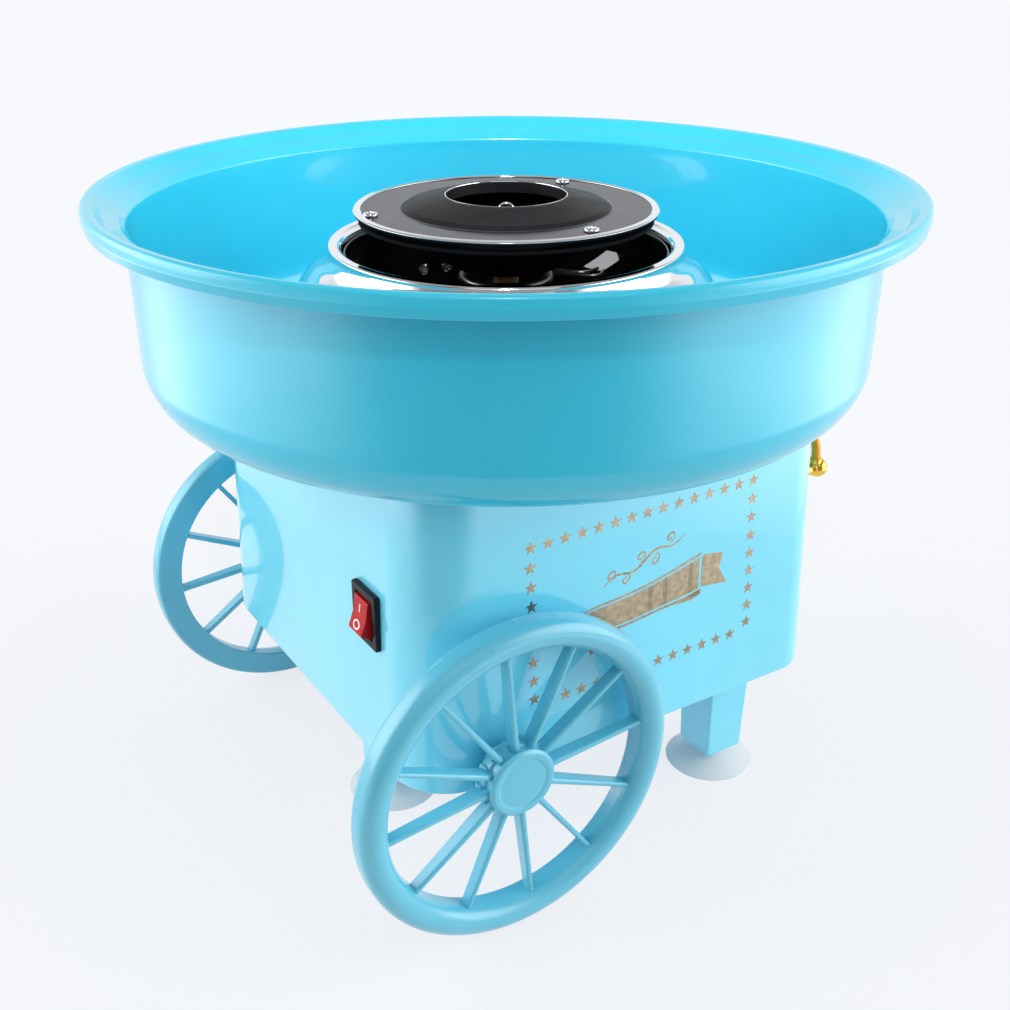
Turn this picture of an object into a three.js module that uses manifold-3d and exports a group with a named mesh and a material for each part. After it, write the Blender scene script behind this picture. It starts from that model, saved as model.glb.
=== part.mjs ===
// Cotton candy machine in the shape of a small vendor's cart.
// Units are millimetres, +Z is up and z = 0 is the table.
// X runs along the cart: -X is the switch end, +X is the handle end.
// The side with the decorated panel faces -Y and carries the near wheel.
import * as THREE from "three";
import Module from "manifold-3d";

const wasm = await Module();
wasm.setup();

// Fits
const GAP = 0.3; // between two pieces that touch
const RUN = 0.4; // around a piece that turns or slides

// Wheels: they stand on the table, so the axle is as high as the wheel's radius
const WHEEL_R = 63.1;
const RIM_WIDTH = 11.1;
const RIM_INNER = WHEEL_R - RIM_WIDTH;
const RIM_DEPTH = 11;
const SPOKES = 12;
const SPOKE_PHASE = 5.5;
const SPOKE_DEPTH = 5.8;
const SPOKE_THICK = 2.6;
const HUB_R = 13.3;
const HUB_BACK = 6.5; // from the wheel's middle plane to the hub's inner end
const HUB_STEP = 0.8;
const AXLE_R = 3.2;
const AXLE_HEAD_R = 5.5;
const BOSS_R = 6.3;
const BOSS_COVER = 0.8; // housing below the axle boss

// Housing: a tub with its mouth down, slightly narrower at the top
const HOUSING_BOTTOM = WHEEL_R - BOSS_R - BOSS_COVER;
const HOUSING_HEIGHT = 116.4;
const HOUSING_TOP = HOUSING_BOTTOM + HOUSING_HEIGHT;
const HOUSING_HALF = 92;
const HOUSING_TAPER = 2.8; // how far each side leans in at the top
const HOUSING_TOP_HALF = HOUSING_HALF - HOUSING_TAPER;
const HOUSING_CORNER = 20;
const WALL = 2.5;
const DECK = 3;
const DECK_HOLE = 30;
const POST_R = 5;
const WHEEL_SETBACK = 32.9; // from the front end to the axle
const WHEEL_STANDOFF = 10; // from the side wall to the wheel's middle plane
const WHEEL_X = WHEEL_SETBACK - HOUSING_HALF;
const WHEEL_Y = HOUSING_HALF + WHEEL_STANDOFF;

// Bowl
const BOWL_FLOOR = HOUSING_TOP + GAP;
const BOWL_HEIGHT = 74.6;
const BOWL_SHEET = 1.6;
const BOWL_HOLE = 83.5;
const BOWL_COLLAR = 7;
const BOWL_CORNER_R = 15;
const BOWL_CORNER_Z = 18;
const RIM_R = 152.5;
const RIM_FLANGE = 13.7; // from the wall to the rim's edge
const BOWL_WALL = RIM_R - RIM_FLANGE;
const BOWL_FOOT = BOWL_WALL - 0.5;
const RIM_TOP = BOWL_FLOOR + BOWL_HEIGHT;
const RIM_LEDGE = RIM_TOP - 4.3;
const RIM_LIP = RIM_TOP - 7.4;

// Chrome shield and heater pan around the spinning head
const SHEET = 1;
const SHIELD_CLEARANCE = 2.5; // inside the bowl's collar
const SHIELD_HEIGHT = 50.1;
const SHIELD_SHOULDER = 12.6;
const SHIELD_LIP = 6.1;
const SHIELD_SKIRT = BOWL_HOLE - SHIELD_CLEARANCE;
const SHIELD_RIM = SHIELD_SKIRT - SHIELD_SHOULDER;
const SHIELD_MOUTH = SHIELD_RIM - SHIELD_LIP;
const SHIELD_TOP = BOWL_FLOOR + SHIELD_HEIGHT;
const PAN_HEIGHT = 47.6;
const PAN_LIFT = 12.3;
const PAN_R = SHIELD_MOUTH - 0.5;
const PAN_TOP = BOWL_FLOOR + PAN_HEIGHT;
const PAN_FLOOR = BOWL_FLOOR + PAN_LIFT;
const PAN_FOOT = SHIELD_SKIRT - 7;
const PAN_SCREW_R = PAN_FOOT - 6;
const VENT_R = 1.8;
const VENT_LIFT = 14; // from the pan's floor to its row of vents
const VENT_Z = PAN_FLOOR + VENT_LIFT;
const VENT_COUNT = 6;
const HEATER_R = 16.5;
const HEATER_TUBE = 2.2;
const HEATER_LIFT = 25.5;
const HEATER_Z = PAN_FLOOR + HEATER_LIFT;
const HEATER_GAP_ANGLE = 62;

// Spinning head
const HEAD_CLEARANCE = 4.8; // narrower than the shield's mouth
const HEAD_HEIGHT = 65.1;
const HEAD_R = SHIELD_MOUTH - HEAD_CLEARANCE;
const HEAD_TOP = BOWL_FLOOR + HEAD_HEIGHT;
const HUMP_INSET = 17.9;
const HUMP_R = HEAD_R - HUMP_INSET;
const HUMP_RISE = 4.4;
const HUMP_TOP = HEAD_TOP + HUMP_RISE;
const HEAD_MOUTH = 22.9;
const SUGAR_PAN_R = HEAD_R - 2;
const SUGAR_PAN_SLOPE = 10; // from the pan's edge in to where it slopes down
const SUGAR_PAN_FLAT = 20;
const SUGAR_PAN_EDGE = HEAD_TOP - 5.2;
const SUGAR_PAN_DEPTH = 17.1;
const SUGAR_PAN_SHEET = 1.7;
const SUGAR_PAN_FLOOR = SUGAR_PAN_EDGE - SUGAR_PAN_DEPTH;
const HEAD_SCREW_R = HEAD_R - 7.5;
const HEAD_SCREW_ANGLES = [30, 165, 275];

// Motor, hung below the deck
const BRACKET_DROP = 22.4;
const BRACKET_BOTTOM = HOUSING_TOP - BRACKET_DROP;
const BRACKET_THICK = 2.3;
const BRACKET_HALF = 46;
const BRACKET_SCREW = BRACKET_HALF - 8;
const MOTOR_LENGTH = 38;
const MOTOR_R = 26;
const MOTOR_BOTTOM = BRACKET_BOTTOM - MOTOR_LENGTH;
const MOTOR_SCREW = 16;
const ROTOR_R = MOTOR_R - 6;
const ROTOR_END_R = 10;
const ROTOR_END = 4;
const SHAFT_R = 3.2;
const SHAFT_TIP_R = 2.4;
const SHOULDER_R = 4.9; // the sugar pan rests on this shoulder
const SHOULDER_LENGTH = 12;
const SHAFT_BOTTOM = MOTOR_BOTTOM - 14;
const SHAFT_TIP = SUGAR_PAN_FLOOR + 14;
const FAN_R = MOTOR_R + 1;
const FAN_DEPTH = 7;

// Feet
const LEG_BOTTOM = 8;
const LEG_HALF = 9.3;
const LEG_TOP_HALF = 10.4;
const REAR_LEG_X = HOUSING_HALF - 26.8;
const REAR_LEG_Y = HOUSING_HALF - 28;
const FRONT_LEG_X = 30.5 - HOUSING_HALF;
const FRONT_LEG_Y = -8;
const LEGS = [
  ["rear_leg_near", "rear_suction_cup_near", REAR_LEG_X, -REAR_LEG_Y],
  ["rear_leg_far", "rear_suction_cup_far", REAR_LEG_X, REAR_LEG_Y],
  ["front_leg", "front_suction_cup", FRONT_LEG_X, FRONT_LEG_Y],
];
const CUP_R = 18.8;
const CUP_NECK = 4.6;

// Rocker switch on the -X face
const SWITCH_Y = 38.3 - HOUSING_HALF;
const SWITCH_Z = HOUSING_BOTTOM + 59.5;
const BEZEL_HALF_Y = 8.9;
const BEZEL_HALF_Z = 11.1;
const BEZEL_PROUD = 2;
const BLOCK_HALF_Y = BEZEL_HALF_Y - 2.5;
const BLOCK_HALF_Z = BEZEL_HALF_Z - 1.9;
const POCKET_HALF_Y = BLOCK_HALF_Y - 0.9;
const POCKET_HALF_Z = BLOCK_HALF_Z - 0.6;
const ROCKER_THROW = 14;

// Handle at the +X end
const HANDLE_Y = HOUSING_HALF - 22;
const HANDLE_REACH = 14.5; // from the end wall's foot to the bar
const HANDLE_X = HOUSING_HALF + HANDLE_REACH;
const HANDLE_DROP = 41; // below the housing's top
const HANDLE_Z = HOUSING_TOP - HANDLE_DROP;
const HANDLE_BAR_R = 1.7;
const HANDLE_SHOULDER = 4.9; // straight part of the bar above each ball
const BALL_R = 4.2;
const HANDLE_RISE = 26;
const HANDLE_LEAN = 3; // how far the arch leans towards the end wall

// Supply cord inlet at the +X end
const INLET_Y = 40;
const INLET_Z = HOUSING_BOTTOM + 20;
const INLET_R = 4.2;

function solid(vertices, triangles) {
  let volume = 0;
  for (const [a, b, c] of triangles) {
    const [ax, ay, az] = vertices[a];
    const [bx, by, bz] = vertices[b];
    const [cx, cy, cz] = vertices[c];
    volume += ax * (by * cz - bz * cy) + ay * (bz * cx - bx * cz) + az * (bx * cy - by * cx);
  }
  const triVerts = new Uint32Array(triangles.length * 3);
  triangles.forEach(([a, b, c], i) => triVerts.set(volume < 0 ? [a, c, b] : [a, b, c], i * 3));
  const vertProperties = new Float32Array(vertices.flat());
  return new wasm.Manifold(new wasm.Mesh({ numProp: 3, vertProperties, triVerts }));
}

// Turns a profile of [radius, height] points about the Z axis.
// The profile starts and ends on the axis, or closes on itself.
function revolve(profile, segments = 32) {
  const vertices = [];
  const rows = profile.map(([r, z]) => {
    const row = [];
    if (r === 0) {
      vertices.push([0, 0, z]);
      for (let k = 0; k < segments; k++) row.push(vertices.length - 1);
      return row;
    }
    for (let k = 0; k < segments; k++) {
      const a = (2 * Math.PI * k) / segments;
      vertices.push([r * Math.cos(a), r * Math.sin(a), z]);
      row.push(vertices.length - 1);
    }
    return row;
  });
  const triangles = [];
  const open = profile[0][0] === 0;
  const spans = open ? rows.length - 1 : rows.length;
  for (let i = 0; i < spans; i++) {
    const low = rows[i];
    const high = rows[(i + 1) % rows.length];
    for (let k = 0; k < segments; k++) {
      const n = (k + 1) % segments;
      if (low[k] !== low[n]) triangles.push([low[k], low[n], high[n]]);
      if (high[k] !== high[n]) triangles.push([low[k], high[n], high[k]]);
    }
  }
  return solid(vertices, triangles);
}

// Skins a stack of rings that all have the same number of points.
function loft(rings) {
  const count = rings[0].length;
  const vertices = rings.flat();
  const triangles = [];
  for (let i = 0; i + 1 < rings.length; i++) {
    for (let k = 0; k < count; k++) {
      const n = (k + 1) % count;
      const a = i * count + k;
      const b = i * count + n;
      triangles.push([a, b, b + count], [a, b + count, a + count]);
    }
  }
  const last = (rings.length - 1) * count;
  for (let k = 1; k + 1 < count; k++) {
    triangles.push([0, k + 1, k], [last, last + k, last + k + 1]);
  }
  return solid(vertices, triangles);
}

function rectangle(halfX, halfY, z, x = 0, y = 0) {
  return [
    [x + halfX, y + halfY, z],
    [x - halfX, y + halfY, z],
    [x - halfX, y - halfY, z],
    [x + halfX, y - halfY, z],
  ];
}

function box(x0, x1, y0, y1, z0, z1) {
  const x = (x0 + x1) / 2;
  const y = (y0 + y1) / 2;
  const halfX = (x1 - x0) / 2;
  const halfY = (y1 - y0) / 2;
  return loft([rectangle(halfX, halfY, z0, x, y), rectangle(halfX, halfY, z1, x, y)]);
}

function roundedRectangle(halfX, halfY, radius, z, steps = 4) {
  const ring = [];
  [[1, 1, 0], [-1, 1, 90], [-1, -1, 180], [1, -1, 270]].forEach(([sx, sy, start]) => {
    for (let i = 0; i <= steps; i++) {
      const a = ((start + (90 * i) / steps) * Math.PI) / 180;
      ring.push([
        sx * (halfX - radius) + radius * Math.cos(a),
        sy * (halfY - radius) + radius * Math.sin(a),
        z,
      ]);
    }
  });
  return ring;
}

function cylinder(radius, z0, z1, segments = 20) {
  return revolve([[0, z0], [radius, z0], [radius, z1], [0, z1]], segments);
}

// A round bar along a path, with flat ends.
function tube(path, radius, segments = 8) {
  const points = path.map((p) => new THREE.Vector3(...p));
  let side = new THREE.Vector3(0.31, 0.87, 0.38);
  const rings = points.map((p, i) => {
    const before = points[Math.max(i - 1, 0)];
    const after = points[Math.min(i + 1, points.length - 1)];
    const along = after.clone().sub(before).normalize();
    side = side.clone().addScaledVector(along, -side.dot(along)).normalize();
    const other = new THREE.Vector3().crossVectors(along, side);
    const ring = [];
    for (let k = 0; k < segments; k++) {
      const a = (2 * Math.PI * k) / segments;
      ring.push(
        p.clone()
          .addScaledVector(side, radius * Math.cos(a))
          .addScaledVector(other, radius * Math.sin(a))
          .toArray(),
      );
    }
    return ring;
  });
  return loft(rings);
}

function join(...pieces) {
  return pieces.reduce((sum, piece) => sum.add(piece));
}

function cut(body, ...tools) {
  return tools.reduce((rest, tool) => rest.subtract(tool), body);
}

// Local +Z turned to point along another axis
const alongX = (piece) => piece.rotate([0, 90, 0]);
const alongMinusY = (piece) => piece.rotate([90, 0, 0]);
const alongPlusY = (piece) => piece.rotate([-90, 0, 0]);

const toRadians = (degrees) => (degrees * Math.PI) / 180;
const polar = (radius, degrees) => [
  radius * Math.cos(toRadians(degrees)),
  radius * Math.sin(toRadians(degrees)),
];

// Half-width of the housing at a height
const housingHalf = (z) =>
  HOUSING_HALF
  + ((HOUSING_TOP_HALF - HOUSING_HALF) * (z - HOUSING_BOTTOM)) / (HOUSING_TOP - HOUSING_BOTTOM);

const group = new THREE.Group();
group.name = "cotton_candy_machine";

const MATERIALS = {
  blue: [0x6fd3ee, 0, 0.25],
  blueTrim: [0x63c8e6, 0, 0.4],
  chrome: [0xd8dadd, 1, 0.12],
  steel: [0x9da1a6, 0.9, 0.4],
  black: [0x1a1a1c, 0.3, 0.45],
  brass: [0xb98a45, 1, 0.3],
  gold: [0xd9a52f, 1, 0.2],
  plasticBlack: [0x151518, 0, 0.4],
  red: [0xc01f26, 0, 0.3],
  ceramic: [0xe8e2d4, 0, 0.7],
  silicone: [0xe9edef, 0, 0.5],
};

function add(name, piece, material) {
  const [color, metalness, roughness] = MATERIALS[material];
  const { vertProperties, triVerts } = piece.getMesh();
  const geometry = new THREE.BufferGeometry();
  geometry.setAttribute("position", new THREE.BufferAttribute(new Float32Array(vertProperties), 3));
  geometry.setIndex(new THREE.BufferAttribute(new Uint32Array(triVerts), 1));
  geometry.computeVertexNormals();
  const look = new THREE.MeshStandardMaterial({ color, metalness, roughness, flatShading: true });
  const mesh = new THREE.Mesh(geometry, look);
  mesh.name = name;
  group.add(mesh);
}

// A pan-head screw pointing up, with its head below z
function screwUp(x, y, z, length, shank = 1.3, head = 2.8) {
  const profile = [
    [0, z - 1.7], [head * 0.8, z - 1.7], [head, z - 0.9], [head, z], [shank, z],
    [shank, z + length], [0, z + length],
  ];
  return revolve(profile, 8).translate([x, y, 0]);
}

// The same screw pointing down, with its head above z
function screwDown(x, y, z, length, shank = 1.3, head = 2.8) {
  const profile = [
    [0, z - length], [shank, z - length], [shank, z], [head, z], [head, z + 0.9],
    [head * 0.8, z + 1.7], [0, z + 1.7],
  ];
  return revolve(profile, 8).translate([x, y, 0]);
}

const CORNERS = [[1, 1], [-1, 1], [-1, -1], [1, -1]];
const COVER_SCREW = HOUSING_HALF - 10.5;
const COVER_BOTTOM = HOUSING_BOTTOM + 0.6;
const COVER_TOP = COVER_BOTTOM + 2.5;
const BORE = 0.3; // added to a screw's radius for its hole

// Housing
function housing() {
  const outside = loft([
    roundedRectangle(HOUSING_HALF, HOUSING_HALF, HOUSING_CORNER, HOUSING_BOTTOM),
    roundedRectangle(HOUSING_TOP_HALF, HOUSING_TOP_HALF, HOUSING_CORNER, HOUSING_TOP - 1),
    roundedRectangle(HOUSING_TOP_HALF - 1, HOUSING_TOP_HALF - 1, HOUSING_CORNER - 1, HOUSING_TOP),
  ]);
  const insideTop = HOUSING_TOP - DECK;
  const inside = loft([
    roundedRectangle(HOUSING_HALF - WALL, HOUSING_HALF - WALL, HOUSING_CORNER - WALL, HOUSING_BOTTOM - 1),
    roundedRectangle(
      housingHalf(insideTop) - WALL,
      housingHalf(insideTop) - WALL,
      HOUSING_CORNER - WALL,
      insideTop,
    ),
  ]);
  let shell = outside.subtract(inside);
  const bracketTop = BRACKET_BOTTOM + BRACKET_THICK;
  for (const [sx, sy] of CORNERS) {
    const hanger = cylinder(POST_R, bracketTop + GAP, insideTop + 1, 12);
    shell = shell.add(hanger.translate([sx * BRACKET_SCREW, sy * BRACKET_SCREW, 0]));
    const hangerBore = cylinder(1.3 + BORE, bracketTop - 1, insideTop - 3, 8);
    shell = shell.subtract(hangerBore.translate([sx * BRACKET_SCREW, sy * BRACKET_SCREW, 0]));
    const post = cylinder(POST_R, COVER_TOP + GAP, COVER_TOP + 22, 12);
    shell = shell.add(post.translate([sx * COVER_SCREW, sy * COVER_SCREW, 0]));
    const postBore = cylinder(1.6 + BORE, COVER_TOP - 1, COVER_TOP + 16, 8);
    shell = shell.subtract(postBore.translate([sx * COVER_SCREW, sy * COVER_SCREW, 0]));
  }
  for (const s of [1, -1]) {
    const turn = s > 0 ? alongPlusY : alongMinusY;
    const boss = turn(cylinder(BOSS_R, HOUSING_HALF - 13, WHEEL_Y - HUB_BACK - RUN, 16));
    const bore = turn(cylinder(AXLE_R + GAP, HOUSING_HALF - 22, WHEEL_Y + 8, 12));
    shell = shell.add(boss.translate([WHEEL_X, 0, WHEEL_R]));
    shell = shell.subtract(bore.translate([WHEEL_X, 0, WHEEL_R]));
    const handleHole = alongX(cylinder(2.7, HOUSING_HALF - 12, HOUSING_HALF + 3, 12));
    shell = shell.subtract(handleHole.translate([0, s * HANDLE_Y, HANDLE_Z]));
  }
  const holeY = BLOCK_HALF_Y + RUN;
  const holeZ = BLOCK_HALF_Z + RUN;
  const switchHole = box(
    -5 - HOUSING_HALF, 6 - HOUSING_HALF,
    SWITCH_Y - holeY, SWITCH_Y + holeY, SWITCH_Z - holeZ, SWITCH_Z + holeZ,
  );
  const inletBore = alongX(cylinder(INLET_R + RUN, HOUSING_HALF - 12, HOUSING_HALF + 4, 16));
  const inletHole = inletBore.translate([0, INLET_Y, INLET_Z]);
  shell = cut(shell, switchHole, inletHole, cylinder(DECK_HOLE, insideTop - 1, HOUSING_TOP + 1, 28));
  for (let i = 0; i < 3; i++) {
    const [x, y] = polar(PAN_SCREW_R, 30 + 120 * i);
    shell = shell.subtract(cylinder(1.3 + BORE, insideTop - 1, HOUSING_TOP + 1, 10).translate([x, y, 0]));
  }
  return shell;
}
add("housing_shell", housing(), "blue");

// Bottom cover with vent slots and a socket for each leg
const SPIGOT_HALF = 6;
const COVER_HALF = housingHalf(COVER_TOP) - WALL - GAP;
function bottomCover() {
  const corner = HOUSING_CORNER - WALL - GAP;
  let cover = loft([
    roundedRectangle(COVER_HALF, COVER_HALF, corner, COVER_BOTTOM),
    roundedRectangle(COVER_HALF, COVER_HALF, corner, COVER_TOP),
  ]);
  for (const s of [1, -1]) {
    const half = BOSS_R + 0.7;
    const notch = box(
      WHEEL_X - half, WHEEL_X + half, HOUSING_HALF - 16, HOUSING_HALF + 3, COVER_BOTTOM - 1, COVER_TOP + 1,
    );
    cover = cover.subtract(s > 0 ? notch : notch.mirror([0, 1, 0]));
  }
  for (const [sx, sy] of CORNERS) {
    const hole = cylinder(1.6 + BORE, COVER_BOTTOM - 1, COVER_TOP + 1, 10);
    cover = cover.subtract(hole.translate([sx * COVER_SCREW, sy * COVER_SCREW, 0]));
  }
  for (const [, , x, y] of LEGS) {
    const half = SPIGOT_HALF + GAP;
    cover = cover.subtract(box(x - half, x + half, y - half, y + half, COVER_BOTTOM - 1, COVER_TOP + 1));
  }
  for (let i = -3; i <= 3; i++) {
    cover = cover.subtract(box(8 * i - 1.6, 8 * i + 1.6, -24, 24, COVER_BOTTOM - 1, COVER_TOP + 1));
  }
  return cover;
}
add("bottom_cover", bottomCover(), "blueTrim");
CORNERS.forEach(([sx, sy], i) => {
  const screw = screwUp(sx * COVER_SCREW, sy * COVER_SCREW, COVER_BOTTOM - GAP, 15, 1.6, 3.2);
  add(`cover_screw_${i + 1}`, screw, "steel");
});

// Legs and their suction cups
const CUP_STEM = 2.5;
for (const [leg, cup, x, y] of LEGS) {
  const top = COVER_BOTTOM - GAP;
  const post = loft([
    rectangle(LEG_HALF, LEG_HALF, LEG_BOTTOM, x, y),
    rectangle(LEG_TOP_HALF, LEG_TOP_HALF, top, x, y),
  ]);
  const spigot = box(
    x - SPIGOT_HALF, x + SPIGOT_HALF, y - SPIGOT_HALF, y + SPIGOT_HALF, top - 1, COVER_TOP,
  );
  const bore = cylinder(CUP_STEM + GAP, LEG_BOTTOM - 1, LEG_BOTTOM + 13, 16).translate([x, y, 0]);
  add(leg, cut(join(post, spigot), bore), "blue");
  const profile = [
    [0, 3.2], [8, 2.6], [CUP_R - 1.8, 0], [CUP_R - 0.2, 0], [CUP_R, 1],
    [CUP_R - 6.8, 3.4], [CUP_NECK, 6], [CUP_NECK, LEG_BOTTOM - GAP], [CUP_STEM, LEG_BOTTOM - GAP],
    [CUP_STEM, LEG_BOTTOM + 11.5], [0, LEG_BOTTOM + 11.5],
  ];
  add(cup, revolve(profile, 18).translate([x, y, 0]), "silicone");
}

// Bowl
function bowlProfile() {
  const sheet = BOWL_SHEET;
  const centre = BOWL_FOOT - BOWL_CORNER_R;
  const underside = [[BOWL_HOLE, BOWL_FLOOR]];
  const inside = [];
  const steps = 4;
  for (let i = 0; i <= steps; i++) {
    const a = toRadians(-90 + (90 * i) / steps);
    const z = BOWL_FLOOR + BOWL_CORNER_Z;
    underside.push([centre + BOWL_CORNER_R * Math.cos(a), z + BOWL_CORNER_Z * Math.sin(a)]);
    inside.unshift([
      centre + (BOWL_CORNER_R - sheet) * Math.cos(a),
      z + (BOWL_CORNER_Z - sheet) * Math.sin(a),
    ]);
  }
  return [
    ...underside,
    [BOWL_WALL, RIM_LIP - 2.8],
    [BOWL_WALL + 1.7, RIM_LIP - 1],
    [RIM_R - 7, RIM_LEDGE - 1.8],
    [RIM_R - 4.2, RIM_TOP - 3.5],
    [RIM_R - 2.6, RIM_TOP - 1.8],
    [RIM_R - 1.8, RIM_TOP - 3.6],
    [RIM_R - 2.2, RIM_LIP],
    [RIM_R - 0.8, RIM_LIP],
    [RIM_R, RIM_TOP - 4.2],
    [RIM_R - 0.2, RIM_TOP - 1.7],
    [RIM_R - 0.8, RIM_TOP - 0.4],
    [RIM_R - 1.8, RIM_TOP],
    [RIM_R - 3.6, RIM_TOP - 0.4],
    [RIM_R - 5.2, RIM_TOP - 1.7],
    [RIM_R - 7.3, RIM_LEDGE + 0.4],
    [RIM_R - 8.1, RIM_LEDGE],
    [BOWL_WALL + 0.9, RIM_LEDGE - 2.3],
    [BOWL_WALL - 0.7, RIM_LEDGE - 4],
    [BOWL_WALL - sheet, RIM_LIP - 3],
    ...inside,
    [BOWL_HOLE + sheet, BOWL_FLOOR + sheet],
    [BOWL_HOLE + sheet, BOWL_FLOOR + BOWL_COLLAR],
    [BOWL_HOLE, BOWL_FLOOR + BOWL_COLLAR],
  ];
}
add("bowl", revolve(bowlProfile(), 44), "blue");

// Chrome shield around the head
const shieldProfile = [
  [PAN_FOOT + 1, BOWL_FLOOR], [SHIELD_SKIRT, BOWL_FLOOR], [SHIELD_SKIRT, SHIELD_TOP - 18.8],
  [SHIELD_SKIRT - 1.8, SHIELD_TOP - 14.4], [SHIELD_SKIRT - 5.6, SHIELD_TOP - 9.9],
  [SHIELD_RIM + 0.9, SHIELD_TOP - 3.9], [SHIELD_RIM - 0.6, SHIELD_TOP - 0.6],
  [SHIELD_MOUTH + 1.9, SHIELD_TOP], [SHIELD_MOUTH, SHIELD_TOP - 1.5], [SHIELD_MOUTH, SHIELD_TOP - 9.3],
  [SHIELD_MOUTH + SHEET, SHIELD_TOP - 9.3], [SHIELD_MOUTH + SHEET, SHIELD_TOP - 2],
  [SHIELD_RIM - 2, SHIELD_TOP - 1.4], [SHIELD_RIM, SHIELD_TOP - 4.6],
  [SHIELD_SKIRT - 6.4, SHIELD_TOP - 10.5], [SHIELD_SKIRT - 2.7, SHIELD_TOP - 14.9],
  [SHIELD_SKIRT - SHEET, SHIELD_TOP - 19], [SHIELD_SKIRT - SHEET, BOWL_FLOOR + SHEET],
  [PAN_FOOT + 1, BOWL_FLOOR + SHEET],
];
add("chrome_heat_shield", revolve(shieldProfile, 32), "chrome");

// Black heater pan with vent holes
function heaterPan() {
  const wall = PAN_R - SHEET;
  let pan = revolve([
    [8, PAN_FLOOR], [wall - 2, PAN_FLOOR], [wall, PAN_FLOOR - 2], [wall, BOWL_FLOOR],
    [PAN_FOOT, BOWL_FLOOR], [PAN_FOOT, BOWL_FLOOR + SHEET], [PAN_R, BOWL_FLOOR + SHEET],
    [PAN_R, PAN_TOP], [wall, PAN_TOP], [wall, PAN_FLOOR + 3], [wall - 2, PAN_FLOOR + SHEET],
    [8, PAN_FLOOR + SHEET],
  ], 30);
  for (let i = 0; i < VENT_COUNT; i++) {
    const vent = alongX(cylinder(VENT_R, PAN_R - 4, PAN_R + 3, 6));
    const angle = 180 * Math.floor(i / 3) + 75 + 8 * (i % 3);
    pan = pan.subtract(vent.translate([0, 0, VENT_Z]).rotate([0, 0, angle]));
  }
  for (let i = 0; i < 3; i++) {
    const [x, y] = polar(PAN_SCREW_R, 30 + 120 * i);
    const hole = cylinder(1.3 + BORE, BOWL_FLOOR - 1, BOWL_FLOOR + 3, 10);
    pan = pan.subtract(hole.translate([x, y, 0]));
  }
  for (const side of [-1, 1]) {
    const [x, y] = polar(HEATER_R, HEATER_GAP_ANGLE + side * 17);
    pan = pan.subtract(cylinder(HEATER_TUBE + GAP, PAN_FLOOR - 1, PAN_FLOOR + 3, 12).translate([x, y, 0]));
  }
  return pan;
}
add("heater_pan", heaterPan(), "black");
for (let i = 0; i < 3; i++) {
  const [x, y] = polar(PAN_SCREW_R, 30 + 120 * i);
  add(`pan_screw_${i + 1}`, screwDown(x, y, BOWL_FLOOR + SHEET + GAP, 7), "steel");
}

// Heating element: an open ring with both ends turned down through the pan
function heaterRing() {
  const path = [];
  const ends = [];
  for (const side of [1, -1]) {
    const [x, y] = polar(HEATER_R, HEATER_GAP_ANGLE + side * 17);
    const [nx, ny] = polar(HEATER_R, HEATER_GAP_ANGLE + side * 20);
    ends.push([[x, y, PAN_FLOOR - 6], [x, y, HEATER_Z - 4], [nx, ny, HEATER_Z - 1.2]]);
  }
  path.push(...ends[0]);
  const steps = 20;
  for (let i = 0; i <= steps; i++) {
    const a = HEATER_GAP_ANGLE + 28 + ((360 - 56) * i) / steps;
    path.push([...polar(HEATER_R, a), HEATER_Z]);
  }
  path.push(...ends[1].reverse());
  return tube(path, HEATER_TUBE, 7);
}
add("heating_element", heaterRing(), "steel");
[-1, 1].forEach((side, i) => {
  const [x, y] = polar(HEATER_R, HEATER_GAP_ANGLE + side * 17);
  const low = PAN_FLOOR + SHEET + GAP;
  const profile = [
    [HEATER_TUBE + GAP, low], [4.6, low], [4.6, low + 5], [4, low + 6], [HEATER_TUBE + GAP, low + 6],
  ];
  add(`ceramic_bush_${i + 1}`, revolve(profile, 14).translate([x, y, 0]), "ceramic");
});

// Motor, hung under the deck on a bracket
const CAN_TOP = BRACKET_BOTTOM - GAP;
function bracket() {
  let plate = loft([
    roundedRectangle(BRACKET_HALF, BRACKET_HALF, 8, BRACKET_BOTTOM, 3),
    roundedRectangle(BRACKET_HALF, BRACKET_HALF, 8, BRACKET_BOTTOM + BRACKET_THICK, 3),
  ]);
  plate = plate.subtract(cylinder(8, BRACKET_BOTTOM - 1, BRACKET_BOTTOM + 4, 20));
  const holes = CORNERS.map(([sx, sy]) => [sx * BRACKET_SCREW, sy * BRACKET_SCREW]);
  holes.push([MOTOR_SCREW, 0], [-MOTOR_SCREW, 0]);
  for (const [x, y] of holes) {
    const hole = cylinder(1.3 + BORE, BRACKET_BOTTOM - 1, BRACKET_BOTTOM + 4, 10);
    plate = plate.subtract(hole.translate([x, y, 0]));
  }
  return plate;
}
add("motor_bracket", bracket(), "steel");
CORNERS.forEach(([sx, sy], i) => {
  const screw = screwUp(sx * BRACKET_SCREW, sy * BRACKET_SCREW, BRACKET_BOTTOM - GAP, 12);
  add(`bracket_screw_${i + 1}`, screw, "steel");
});
const canProfile = [
  [SHAFT_R + RUN, CAN_TOP - 3], [MOTOR_R - 1.5, CAN_TOP - 3], [MOTOR_R - 1.5, MOTOR_BOTTOM],
  [MOTOR_R, MOTOR_BOTTOM], [MOTOR_R, CAN_TOP], [SHAFT_R + RUN, CAN_TOP],
];
let can = revolve(canProfile, 20);
for (const x of [MOTOR_SCREW, -MOTOR_SCREW]) {
  can = can.subtract(cylinder(1.3 + BORE, CAN_TOP - 4, CAN_TOP + 1, 10).translate([x, 0, 0]));
}
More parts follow.
